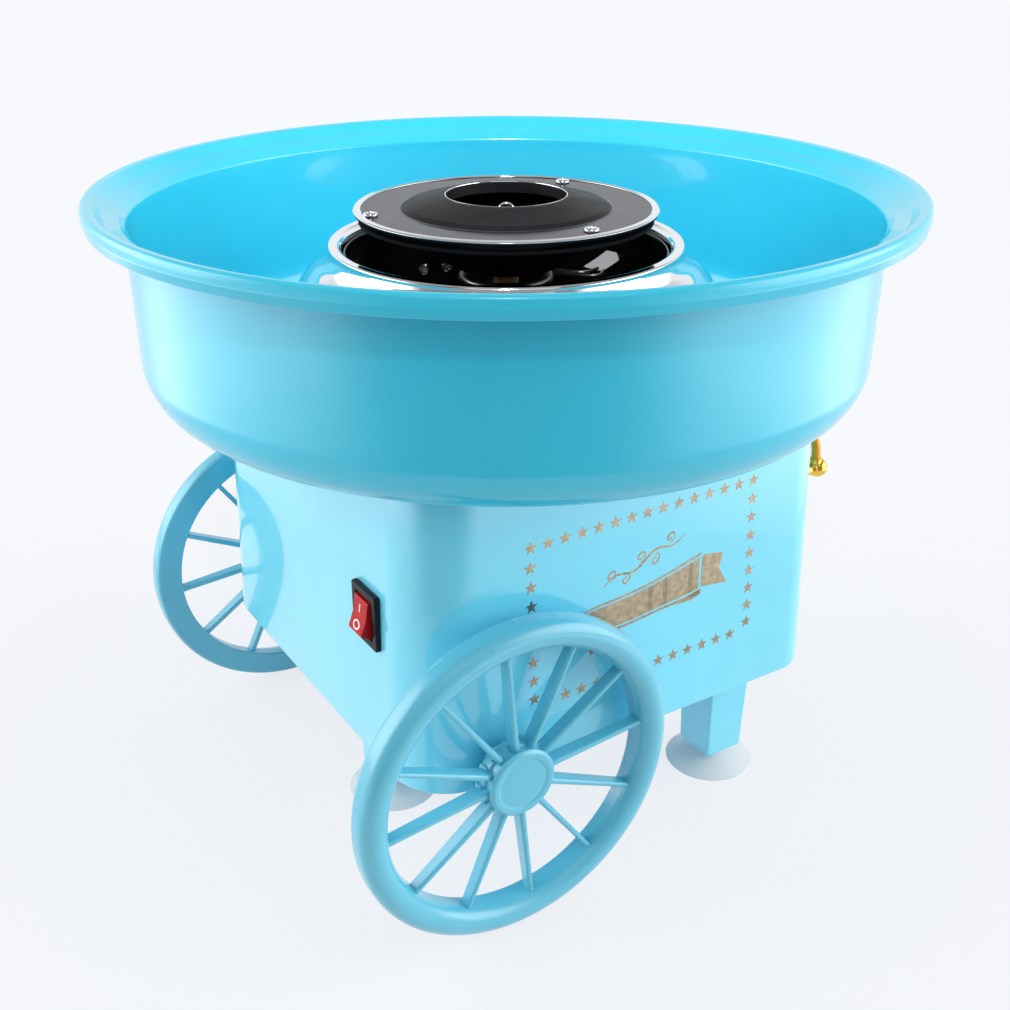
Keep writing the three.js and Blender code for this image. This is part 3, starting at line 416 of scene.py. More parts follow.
def tube_rings(path, radii, segments):
    points = [Vector(p) for p in path]
    side = Vector((0.31, 0.87, 0.38))  # no path here runs this way
    rings = []
    for i, point in enumerate(points):
        before, after = points[max(i - 1, 0)], points[min(i + 1, len(points) - 1)]
        along = (after - before).normalized()
        side = (side - along * side.dot(along)).normalized()
        other = along.cross(side)
        radius = radii[i] if isinstance(radii, (list, tuple)) else radii
        rings.append([tuple(point + side * (radius * math.cos(2 * math.pi * k / segments))
                            + other * (radius * math.sin(2 * math.pi * k / segments)))
                      for k in range(segments)])
    return rings


def polar(radius, degrees):
    return radius * math.cos(math.radians(degrees)), radius * math.sin(math.radians(degrees))


# Bowl
def bowl():
    outline = [(83.5, BOWL_FLOOR, 0.6)]
    outline += ellipse(123.3, 190.7, 15, 18, -90, 0, 14)
    # The rolled rim, up its outside and down its inside
    outline += [(138.8, 237.1, 3), (141.0, 239.0, 1.6), (145.8, 241.2, 1.4), (148.4, 243.9, 1.2),
                (150.1, 245.5, 0.9), (150.9, 243.4, 0.8), (150.4, 239.9, 0.4), (151.7, 239.9, 0.5),
                (152.5, 243.1, 3), (152.3, RIM_TOP + 0.3, 2), (148.3, RIM_TOP - 0.5, 1.8),
                (145.3, 243.3, 0.7), (144.4, 243.0), (139.8, 240.8, 1.4), (137.5, 238.6, 2), (137.2, 234)]
    outline += ellipse(123.3, 190.7, 13.4, 16.4, 0, -90, 14)
    outline += [(85.1, 174.3, 1.4), (85.1, 179.7, 0.7), (83.5, 179.7, 0.7)]
    Shape().lathe(rounded(outline), 200).piece("bowl_moulding", "bowl", blue_gloss, "blue_body", "bowl")


bowl()


# Housing with its two axle bosses
def housing():
    shape = Shape()
    bottom, top = HOUSING_BOTTOM, HOUSING_TOP

    def ring(z, inset):
        half = housing_half(z) - inset
        return rounded_square(half, half, FRONT_CORNER - inset, z, 14, REAR_CORNER - inset)

    rings = [ring(bottom + 8, 2.6), ring(bottom, 2.6)]
    rings += [ring(z, inset) for inset, z in ((1.1, bottom), (0.4, bottom + 0.3), (0, bottom + 1.1))]
    rings += [ring(bottom + 1.1 + (top - 3.1 - bottom) * k / 8, 0) for k in range(1, 9)]
    rings += [ring(top - rise, inset) for inset, rise in ((0.25, 1.3), (0.8, 0.5), (1.8, 0.08), (2.6, 0))]
    shape.loft(rings)
    for side in (-1, 1):
        boss = Shape().lathe(rounded([(3.5, 84), (8.2, 84), (8.2, 89.8), (6.3, 91.6, 1.2), (6.3, 95.1, 0.5),
                                      (3.5, 95.1, 0.3)]), 40)
        boss.move(lambda x, y, z, side=side: (x + WHEEL_X, side * z, y + WHEEL_R))
        shape.merge(boss)
    shape.piece("housing_moulding", "base", blue_housing, "blue_body", "housing_shell")


housing()


# Legs and suction cups. Each leg: label, place, CAD nodes of the leg and its cup.
LEGS = (("rear_near", 65.2, -64, "rear_leg_near", "rear_suction_cup_near"),
        ("rear_far", 65.2, 64, "rear_leg_far", "rear_suction_cup_far"),
        ("front", -61.5, -8, "front_leg", "front_suction_cup"))
LEG_FOOT, LEG_HEAD = 8, 56.2
LEG_FOOT_HALF, LEG_HEAD_HALF = 9.3, 10.4


def legs():
    cup_outline = rounded([(0, 3.1), (6, 2.9), (12, 1.9, 6), (17.2, 0.05, 0.6), (18.5, 0.02, 0.3),
                           (18.75, 0.5, 0.3), (13, 2.7, 8), (6.6, 4.4, 3), (4.6, 6, 1), (4.6, 7.7, 0.3),
                           (2.5, 7.7), (2.5, 19.3, 0.5), (0, 19.3)], closed=False)
    for label, x, y, leg_node, cup_node in LEGS:
        rings = []
        for inset, z in ((3.4, LEG_FOOT), (0.9, LEG_FOOT), (0.3, LEG_FOOT + 0.2), (0, LEG_FOOT + 0.8), (0, 30),
                         (0, LEG_HEAD)):
            share = (z - LEG_FOOT) / (LEG_HEAD - LEG_FOOT)
            half = LEG_FOOT_HALF + (LEG_HEAD_HALF - LEG_FOOT_HALF) * share - inset
            rings.append(rounded_square(half, half, 1.1, z, 6))
        leg = Shape().loft(rings).shift(x, y)
        leg.piece(label + "_leg_moulding", "base", blue_housing, "blue_body", leg_node)
        cup = Shape().lathe(cup_outline, 72, closed=False).shift(x, y)
        cup.piece(label + "_cup", "base", silicone, "clear_silicone", cup_node)


legs()


# Wheels. A spoke's sections: radius, lowest and highest point, width.
SPOKES = 12
SPOKE = ((10.8, -4.6, 1.4, 2.7), (14.5, -4.4, 1.4, 2.55), (24, -4.1, 1.5, 2.3), (40, -3.5, 1.65, 2.1),
         (50.5, -3.1, 1.8, 2.0), (53.5, -3.0, 1.9, 2.2))
FIRST_SPOKE = 5.5  # in degrees from the level


def wheel_shape(first):
    """Rim, hub and spokes around the Z axis, with the outer side up"""
    outline = [(52.0, -5.5, 0.8), (62.4, -5.5, 1.6), (WHEEL_R, -3.2, 2), (WHEEL_R, 0, 3)]
    outline += ellipse(57.7, 0.6, 5.4, 4.9, 8, 172, 16)
    outline += [(52.1, 0, 2), (52.0, -3)]
    shape = Shape().lathe(rounded(outline), 160)
    shape.lathe(rounded([(3.6, -6.5), (13.3, -6.5, 0.6), (13.3, -1.6, 0.5), (12.3, -1.2, 0.4), (12.3, 1.9, 0.3),
                         (6.1, 1.9), (6.1, -1.1), (3.6, -1.1)]), 72)
    root = rounded([(2.3, -5.6, 0.4), (2.3, -1.9, 0.6), (-2.3, -1.9, 0.6), (-2.3, -5.6, 0.4)], 3)
    for i in range(SPOKES):
        rings = []
        for r, low, high, wide in SPOKE:
            section = rounded([(wide / 2, low, 0.4), (wide / 2, high, wide * 0.46),
                               (-wide / 2, high, wide * 0.46), (-wide / 2, low, 0.4)], 4)
            rings.append([(r, w, d) for w, d in section])
        a = math.radians(first + 360 / SPOKES * i)
        shape.merge(Shape().loft(rings).turn(a))
        shape.merge(Shape().loft([[(r, w, d) for w, d in root] for r in (11, 14.3)]).turn(a))
    return shape


def wheels():
    cap_outline = rounded([(0, 1.9), (13.2, 1.9, 0.3), (13.4, 2.8, 1.0), (12.1, 3.9, 1.3), (10.4, 3.75, 0.8),
                           (9.4, 3.3, 0.9), (6, 3.5, 6), (0, 3.6)], closed=False)
    for label, side in (("near", -1), ("far", 1)):
        def outward(x, y, z, side=side):
            return x + WHEEL_X, side * (z + WHEEL_Y), -side * y + WHEEL_R

        wheel = wheel_shape(FIRST_SPOKE * -side).move(outward)
        wheel.piece("wheel_%s_moulding" % label, "wheel_" + label, blue_satin, "blue_body", "wheel_" + label)
        cap = Shape().lathe(cap_outline, 96, closed=False).move(outward)
        cap.piece("hub_cap_%s_disc" % label, "wheel_" + label, blue_satin, "blue_trim", "hub_cap_" + label)


wheels()


# Chrome shield and heater pan, whose vents are in two groups of three
VENT_ANGLES = (72.5, 82.5, 93, 252.5, 262.5, 273)
VENT_Z = 199.6


def shield():
    outside = smooth_line([(81, 200), (80.9, 204), (79.9, 208), (77.8, 211.8), (74.2, 215.6), (70.6, 218.9),
                           (68.5, 221.8), (67.7, 223.5)], 5)
    outline = [(75, BOWL_FLOOR), (81, BOWL_FLOOR, 0.6)] + outside
    outline += [(67.3, 225.0, 1.2), (63.6, 225.0, 1.8), (62.3, 223.2, 1.2), (62.3, 213.5), (63, 213.5),
                (63.1, 222.8, 1), (65.8, 223.6, 0.8), (67.5, 220.4, 1)]
    outline += [(73.8, 214.6), (77.5, 210.5), (79.9, 203.8), (80, BOWL_FLOOR + 1), (75, BOWL_FLOOR + 1)]
    Shape().lathe(rounded(outline), 192).piece("shield_spinning", "base", chrome, "chrome_plate",
                                               "chrome_heat_shield")


shield()


def heater_pan():
    outline = [(8, 185), (58.8, 185, 2), (PAN_R, 183, 1), (PAN_R, BOWL_FLOOR, 0.6), (74, BOWL_FLOOR),
               (74, BOWL_FLOOR + 1, 0.4), (61.8, BOWL_FLOOR + 1, 0.6), (61.8, 221.2, 0.4), (61.0, 222.0, 0.4),
               (60.7, 220.8, 0.3), (PAN_R, 188, 2.6), (58.2, 186, 0.6), (8, 186, 0.3)]
    Shape().lathe(rounded(outline), 120).piece("pan_pressing", "base", black_enamel, "black_enamel",
                                               "heater_pan")
    # Bright rims and grilles on the vents
    rim_outline = rounded([(1.7, 0), (2.5, 0, 0.2), (2.5, 0.5, 0.2), (1.9, 0.9, 0.2), (1.7, 0.5, 0.2)])
    rims = Shape()
    for angle in VENT_ANGLES:
        rim = Shape().lathe(rim_outline, 24)
        for across, up in [(0, 0)] + [polar(1.05, 60 * k) for k in range(6)]:
            bead = Shape().lathe(ellipse(0, 0, 0.5, 0.7, -90, 90, 5), 10, closed=False)
            rim.merge(bead.shift(across, up, 0.3))
        rim.move(lambda x, y, z: (PAN_R - 0.1 - z, x, y + VENT_Z))
        rims.merge(rim.turn(math.radians(angle)))
    rims.piece("pan_vent_rims", "base", chrome, "chrome_plate")
    # Polished curved tab on the wall, to which the heating element's leads run
    length, half, thick = 14.3, 3.9, 0.5
    rings = []
    for k in range(11):
        u = length * k / 10
        x, y, z = 43.1 + 0.978 * u, 3.1 + 0.208 * u, 206.45 + 0.2 * u + 0.006 * u * u
        rings.append([(x + 0.771 * w, y - 0.637 * w, z - 0.2 * w + rise)
                      for w, rise in ((-half, 0), (half, 0), (half, -thick), (-half, -thick))])
    Shape().loft(rings).piece("heater_tab", "base", chrome, "chrome_plate", weighted=False)


heater_pan()


# Spinning head. Each lid screw: number, distance from the axis, angle.
LID_SCREWS = ((1, 49, 30), (2, 52, 166.5), (3, 49.5, 274.5))
LOOP_R = 2.7


def head():
    # The lid: gloss on its flat edge, satin on the raised middle, matt underneath
    lid = [(56.4, 235.9, 0.3), (57.1, 236.4, 0.3), (57.1, 237.1, 0.2), (54.9, 237.3, 0.2), (53.8, 237.35, 0.5),
           (40.4, 237.2, 0.5), (39.6, 237.3, 0.3), (37.6, 238.5, 1.6), (24.9, 241.8, 2.0), (23.2, 242.1, 0.5),
           (22.6, 241.6, 0.4), (22.5, 237.6, 0.2), (23.3, 237.6, 0.2), (23.7, 240.4, 0.5), (31.4, 238.7),
           (38.6, 236.5), (54, 235.9)]
    thing = Shape().lathe(rounded(lid), 160).piece("lid_spinning", "head", black_gloss, "black_enamel",
                                                   "head_lid")
    thing.data.materials.append(black_satin)
    thing.data.materials.append(black_matt)
    for face in thing.data.polygons:
        r, z = face.center.xy.length / MM, face.center.z / MM
        if z < 237.12 and r > 40.5:
            face.material_index = 2
        elif z > 237.8 or r < 39.5:
            face.material_index = 1
    edge = [(54.6, 237.1), (57.1, 237.0, 0.2), (57.5, 237.3, 0.25), (56.8, 237.75, 0.5), (55.2, 237.95, 0.4),
            (54.3, 237.6, 0.3)]
    Shape().lathe(rounded(edge), 160).piece("lid_edge", "head", chrome, "chrome_plate")
    bead = Shape().lathe(ellipse(22.85, 241.85, 0.24, 0.24, 0, 315, 7), 120)
    bead.piece("lid_mouth_bead", "head", chrome, "chrome_plate")
    pan = [(2.7, 215.5), (20, 215.5, 4), (45.5, 231.0, 3), (55.5, 232.6, 0.5), (55.5, 234.1, 0.5),
           (44.8, 232.6, 3), (19.4, 217.2, 4), (2.7, 217.2)]
    Shape().lathe(rounded(pan), 120).piece("sugar_pan_pressing", "head", black_matt, "black_enamel",
                                           "sugar_pan")
    nut = [(0, 230.5), (2.7, 230.5), (2.7, 217.5), (7, 217.5, 0.5), (7, 220.5, 0.6), (4.6, 222, 0.6),
           (4.6, 233.6, 0.7), (3.8, 234.5, 0.5), (0, 234.5)]
    nut = Shape().lathe(rounded(nut, closed=False), 60, closed=False)
    nut.piece("nut_turned", "head", black_enamel, "black_enamel", "spindle_nut")
    path = [(-LOOP_R, 232.4), *ellipse(0, 235.6, LOOP_R, LOOP_R, 180, 0, 12), (LOOP_R, 232.4)]
    points = [(*polar(r, LOOP_ANGLE), z) for r, z in path]
    Shape().loft(tube_rings(points, 0.6, 12)).piece("loop_wire", "head", chrome, "chrome_plate", "wire_loop")
    outline = rounded([(0, 234.4), (1.5, 234.4), (1.5, 237.6), (2.9, 237.6, 0.2), (2.7, 238.4, 0.5),
                       (1.4, 238.8, 0.3), (1.1, 238.2, 0.1), (0, 238.2)], closed=False)
    for number, radius, angle in LID_SCREWS:
        x, y = polar(radius, angle)
        screw = Shape().lathe(outline, 40, closed=False).shift(x, y)
        screw.piece("lid_screw_%d" % number, "head", chrome, "chrome_plate", "head_screw_%d" % number)
        # A black disc on the floor of each screw's socket is painted shade, not a part of the screw
        socket_shade = Shape().lathe([(0, 238.25), (1.15, 238.25), (1.15, 238.1), (0, 238.1)], 24, closed=False)
        socket_shade.shift(x, y).piece("lid_screw_recess_%d" % number, "head", black_enamel, "black_enamel")


head()


# Heating element and the turned shaft
def heater():
    # Up from one bush, once around, and down into the other
    x, y = polar(HEATER_R, HEATER_ANGLE + HEATER_GAP)
    path = [(x, y, 179), (x, y, 194), (x, y, 205)]
    bend = 24  # from the middle of the gap to where the ring starts, in degrees
    for k in range(49):
        a = HEATER_ANGLE + bend + (360 - 2 * bend) * k / 48
        ease = min(1, k / 3, (48 - k) / 3)
        path.append((*polar(HEATER_R, a), 208.5 + 2 * ease))
    x, y = polar(HEATER_R, HEATER_ANGLE - HEATER_GAP)
    path += [(x, y, 205), (x, y, 194), (x, y, 179)]
    Shape().loft(tube_rings(path, 1.9, 16)).piece("heater_tube", "base", sheath, "heater_sheath",
                                                  "heating_element")
    leads = Shape()
    for line in (((12.6, 10.9, 210.3), (30, -5.5, 209.0), (44.6, 1.6, 206.8)),
                 ((16.3, -2.6, 210.3), (33, -12.5, 208.8), (46.2, 0.2, 206.0))):
        leads.loft(tube_rings(smooth_line(line, 8), 0.65, 10))
    leads.piece("heater_leads", "base", steel, "zinc_steel")
    shaft = [(0, 98), (3.2, 98, 0.5), (3.2, 202.5), (4.9, 203.5, 0.4), (4.9, 215.2, 0.4), (2.4, 215.2),
             (2.4, 229.5, 0.5), (0, 229.5)]
    shaft = Shape().lathe(rounded(shaft, closed=False), 48, closed=False)
    shaft.piece("shaft_turned", "spinner", brass, "brass_shaft", "motor_shaft")
    for side, name in ((-1, "ceramic_bush_1"), (1, "ceramic_bush_2")):
        bush = Shape().lathe(rounded([(2.5, 186.3), (4.6, 186.3, 0.3), (4.6, 191.3, 0.8), (4, 192.3, 0.4),
                                      (2.5, 192.3, 0.3)]), 36)
        bush.shift(*polar(HEATER_R, HEATER_ANGLE + side * HEATER_GAP))
        bush.piece(name + "_turned", "base", ceramic, "ceramic", name)


heater()


# Rocker switch. Local points are (out of the face, y, z) from its centre.
FACE = -housing_half(SWITCH_Z)
PIVOT = 0.4  # how far the rocker's axis stands out of the housing's face
SWING = math.radians(14)  # at rest the rocker leans this far from the face


def on_face(out, y, z):
    return FACE - out, SWITCH_Y + y, SWITCH_Z + z


def switch():
    # The bezel with the switch's block and its three contact lugs inside the housing
    shape = Shape()
    rings = []
    for inset, out in ((0, 0.1), (0, 1.75), (0.15, 2.0), (0.45, 2.1), (2.55, 2.1), (2.85, 1.9), (3.0, 1.5),
                       (3.1, -6)):
        ring = rounded_square(8.9 - inset, 10.8 - inset, max(0.9 - inset * 0.2, 0.4), 0, 5)
        rings.append([on_face(out, y, z) for y, z, _ in ring])
    shape.loft(rings)
    block = rounded_square(6.4, 9.2, 0.6, 0, 3)
    shape.loft([[on_face(out, y, z) for y, z, _ in block] for out in (-16, 0.3)])
    lug = rounded_square(2.2, 0.5, 0.2, 0, 2)
    for rise in (-5, 0, 5):
        shape.loft([[on_face(out, y, rise + z) for y, z, _ in lug] for out in (-22, -15)])
    shape.piece("switch_bezel", "base", black_plastic, "black_plastic", "switch_body")

    def tipped(out, y, up):
        u = out - PIVOT
        return on_face(PIVOT + u * math.cos(SWING) - up * math.sin(SWING), y,
                       u * math.sin(SWING) + up * math.cos(SWING))

    front = [(4.5, 6.0), (4.25, 3.8), (4.0, 1.4), (3.9, 0), (4.0, -1.4), (4.25, -3.8), (4.5, -6.0)]
    back = [(4.3, -6.4, 0.3), (1.4, -7.0, 0.4), (-4, -6.0), (-5.5, 0), (-4, 6.0), (1.4, 7.0, 0.4),
            (4.3, 6.4, 0.3)]
    outline = smooth_line(front, 4) + rounded(back, 4, closed=False)
    rings = []
    for y, shrink in ((-5.1, 0.4), (-4.95, 0.12), (-4.6, 0), (4.6, 0), (4.95, 0.12), (5.1, 0.4)):
        rings.append([tipped(out - shrink if out > 0 else out, y, up) for out, up in outline])
    Shape().loft(rings).piece("rocker_cap", "rocker", red, "red_rocker", "switch_rocker")

    # The marks follow the hollow of the rocker's face
    def on_rocker(across, up, lift):
        return tipped(3.92 + 0.58 * (abs(up) / 6) ** 1.25 + lift, across, up)

    bar = [[on_rocker(y, z, lift) for y, z in ((-0.35, 1.3), (0.35, 1.3), (0.35, 4.4), (-0.35, 4.4))]
           for lift in (-0.15, 0.1)]
    Shape().loft(bar).piece("rocker_mark_i", "rocker", mark, "red_rocker")
    rings = []
    for k in range(40):
        a = 2 * math.pi * k / 40
        ring = []
        for wide, high, lift in ((1.6, 1.2, -0.15), (1.6, 1.2, 0.1), (2.35, 1.8, 0.1), (2.35, 1.8, -0.15)):
            ring.append(on_rocker(wide * math.cos(a), -3.5 + high * math.sin(a), lift))
        rings.append(ring)
    Shape().loft(rings, closed=True).piece("rocker_mark_o", "rocker", mark, "red_rocker")


switch()


# Push handle: an arched bar between two ball brackets
ARCH_HEIGHT = 26
BALL_R = 3.95
BAR_X = HANDLE_X - 1.6


def handle():
    path = [(BAR_X, -HANDLE_Y, HANDLE_Z + 1), (BAR_X, -HANDLE_Y, HANDLE_Z + 4.4)]
    for i in range(49):
        a = math.pi - math.pi * i / 48
        along = math.copysign(abs(math.cos(a)) ** 0.8, math.cos(a))
        up = max(math.sin(a), 0) ** 0.8
        path.append((BAR_X - 1.4 * up, HANDLE_Y * along, HANDLE_Z + 4.9 + ARCH_HEIGHT * up))
    path += [(BAR_X, HANDLE_Y, HANDLE_Z + 4.4), (BAR_X, HANDLE_Y, HANDLE_Z + 1)]
    count = len(path)
    radii = [1.3 + 0.8 * max(0, 1 - min(i, count - 1 - i) / 10) for i in range(count)]
    Shape().loft(tube_rings(path, radii, 20)).piece("bar_drawn", "base", gold_bar, "gold_plate", "handle_bar")
    rear = housing_half(HANDLE_Z)
    for label, side in (("near", -1), ("far", 1)):
        shape = Shape().lathe(ellipse(0, 0, BALL_R, BALL_R, -90, 90, 24), 48, closed=False)
        collar = rounded([(0, 2.6), (2.5, 2.6), (2.5, 4.6, 0.3), (0, 4.6)], closed=False)
        shape.merge(Shape().lathe(collar, 32, closed=False).shift(BAR_X - HANDLE_X, 0))
        shape.shift(HANDLE_X, side * HANDLE_Y, HANDLE_Z)
        stem = rounded([(0, rear - 5), (2.4, rear - 5), (2.4, rear + 0.3), (3.5, rear + 0.3, 0.3),
                        (3.4, rear + 2.0, 0.6), (2.5, rear + 2.6, 0.6), (2.2, HANDLE_X - 5, 2),
                        (3.2, HANDLE_X - 2.8, 0.4), (0, HANDLE_X - 2.8)], closed=False)
        stem = Shape().lathe(stem, 40, closed=False)
        stem.move(lambda x, y, z, side=side: (z, y + side * HANDLE_Y, x + HANDLE_Z))
        shape.merge(stem)
        shape.piece("ball_bracket_" + label, "base", gold, "gold_plate", "handle_bracket_" + label)


handle()


# Printed foil on the near side panel: a border of stars, a bare ribbon and a plain scroll
FOIL_LIFT = 0.05
FOIL_ROOT = -0.2
STAR_R = 2.75
STAR_INNER_R = 1.1


def flat_patch(shape, points):
    """A thin solid on the panel, whose outline is given by (x, z) points"""
    count = len(points)
    vertices = [(x, -housing_half(z) - lift, z) for lift in (FOIL_LIFT, FOIL_ROOT) for x, z in points]
    faces = [tuple(range(count)), tuple(reversed(range(count, 2 * count)))]
    faces += [(k, (k + 1) % count, count + (k + 1) % count, count + k) for k in range(count)]
    shape.add(vertices, faces)


def stars():
    shape = Shape()
    # Top row, bottom row, and the columns at both ends
    spots = [(-46.96 + 7.07 * i, 145.3 + 0.085 * i) for i in range(15)]
    spots += [(-46.3 + 7.05 * i, 82.7) for i in range(1, 14)]
    spots += [(-47.4 + 0.22 * k, 145.3 - 7.5 * k) for k in range(1, 9)]
    spots += [(52.0 + 0.18 * k, 146.5 - 7.58 * k) for k in range(1, 9)]
    star = [polar(STAR_INNER_R if k % 2 else STAR_R, 90 + 36 * k) for k in range(10)]
    for x, z in spots:
        flat_patch(shape, [(x + across, z + up) for across, up in star])
    shape.piece("star_border", "base", foil, "gold_plate", weighted=False)


stars()


def ribbon():
    top = [(-25.9, 113.4), (-22, 114.3), (-17.7, 114.9), (-9, 115.6), (0, 116.6), (9.2, 118.2), (19, 120.6),
           (28.6, 123.1)]
    bottom = [(-25.9, 104.0), (-21.6, 103.4), (-17.7, 102.9), (-7.3, 102.5), (0.5, 103.2), (10.1, 104.2),
              (20, 105.0), (28.9, 106.0)]
    upper, lower = smooth_line(top, 5), smooth_line(bottom, 5)

    def at(edge, x):
        for (x0, z0), (x1, z1) in zip(edge, edge[1:]):
            if x <= x1:
                return z0 + (z1 - z0) * (x - x0) / (x1 - x0)
        return edge[-1][1]

    def band(shape, start, end, low, high):
        """A strip of the ribbon between two shares of its height"""
        steps = 40
        for i in range(steps):
            strip = []
            for k in (i, i + 1):
                x = start + (end - start) * k / steps
                z0, z1 = at(lower, x), at(upper, x)
                strip.append((x, z0 + (z1 - z0) * low, z0 + (z1 - z0) * high))
            (x0, low0, high0), (x1, low1, high1) = strip
            flat_patch(shape, [(x0, low0), (x1, low1), (x1, high1), (x0, high0)])

    shape = Shape()
    band(shape, -25.9, 28.6, 0, 0.07)
    band(shape, -25.9, 28.6, 0.93, 1)
    band(shape, -25.6, 27.9, 0.12, 0.88)
    # Folded tails behind the right and left ends
    flat_patch(shape, [(29.0, 108.4), (41.8, 107.1), (37.6, 113.9), (39.2, 120.3), (31.0, 121.7),
                       (29.0, 121.2)])
    flat_patch(shape, [(24.4, 104.1), (28.9, 105.4), (29.2, 107.9), (16.8, 104.3)])
    flat_patch(shape, [(-21.4, 95.3), (-14.6, 98.4), (-13.8, 102.2), (-21.4, 102.9), (-24.6, 103.4)])
    shape.piece("ribbon_print", "base", foil, "gold_plate", weighted=False)


ribbon()


def flourish():
    """A plain scroll above the ribbon"""
    shape = Shape()

    def stroke(points, width):
        line = [Vector(p) for p in smooth_line(points, 8)]
        count = len(line)
        edges = []
        for i, point in enumerate(line):
            along = (line[min(i + 1, count - 1)] - line[max(i - 1, 0)]).normalized()
            swell = 0.35 + 0.65 * math.sin(math.pi * i / (count - 1))
            side = Vector((-along.y, along.x)) * (width * swell / 2)
            edges.append((tuple(point + side), tuple(point - side)))
        for (a, b), (c, d) in zip(edges, edges[1:]):
            flat_patch(shape, [b, d, c, a])

    start, base, slope = -16, 121.4, 0.32

    def lean(points):
        return [(x, z + slope * (x - start)) for x, z in points]

    stem = [(start + 2.6 * i, base + 1.5 * math.sin(0.9 * i)) for i in range(15)]
    stroke(lean(stem), 1.05)
    for i, x in enumerate((-13, -6.4, 0.2, 6.8, 13.4)):
        side = 1 if i % 2 == 0 else -1
        curl = []
        for k in range(13):
            turn = math.radians(-90 + 36 * k)
            radius = 2.3 - 0.15 * k
            curl.append((x + radius * math.cos(turn), base + side * (2.5 + radius * math.sin(turn))))
        stroke(lean(curl), 0.85)
    shape.piece("flourish_print", "base", foil, "gold_plate", weighted=False)


flourish()


# CAD nodes that stay as they are get a finished material
CARRIED = {
    blue_trim: ["bottom_cover"],
    steel: ["motor_bracket", "motor_can", "axle_bolt_near", "axle_bolt_far", "handle_screw_near",
            "handle_screw_far"]
    + ["%s_screw_%d" % (kind, i + 1)
       for kind, count in (("cover", 4), ("pan", 3), ("bracket", 4), ("motor", 2)) for i in range(count)],
    copper: ["motor_rotor"],
    black_plastic: ["motor_end_bell", "cooling_fan", "cord_inlet_grommet"],
}
for material, names in CARRIED.items():
    for name in names:
        for place in frame["nodes"][name].material_slots:
            place.material = material


# Floor, world and lamps. The background is this pale colour for the camera, and in metal and glass.
PALE = (0.935, 0.944, 0.972, 1)
BEHIND = Vector((0.532, 0.847, 0))  # away from the camera, along the table
RIGHT = Vector((0.847, -0.532, 0))


def maths(tree, operation, *values):
    """A math node on sockets or numbers"""
    node = tree.nodes.new("ShaderNodeMath")
    node.operation = operation
    for socket, value in zip(node.inputs, values):
        if hasattr(value, "links"):
            tree.links.new(value, socket)
        else:
            socket.default_value = value
    return node.outputs["Value"]


def dot_with(tree, source, vector):
    node = tree.nodes.new("ShaderNodeVectorMath")
    node.operation = "DOT_PRODUCT"
    node.inputs[1].default_value = vector
    tree.links.new(source, node.inputs[0])
    return node.outputs["Value"]


def ramp_between(tree, source, start, end, low, high):
    """low up to start, high from end on, and a smooth change between the two"""
    node = tree.nodes.new("ShaderNodeMapRange")
    node.interpolation_type = "SMOOTHSTEP"
    set_range(node, start, end, low, high)
    tree.links.new(source, node.inputs["Value"])
    return node.outputs["Result"]


def mixed(tree, share, first, second):
    """The second shader by its share over the first"""
    node = tree.nodes.new("ShaderNodeMixShader")
    for value, socket in ((share, "Fac"), (first, 1), (second, 2)):
        tree.links.new(value, node.inputs[socket])
    return node.outputs["Shader"]


# The middle of the table shows this share of the background's colour, and its own light for the rest
FLOOR_GLOW = 0.80


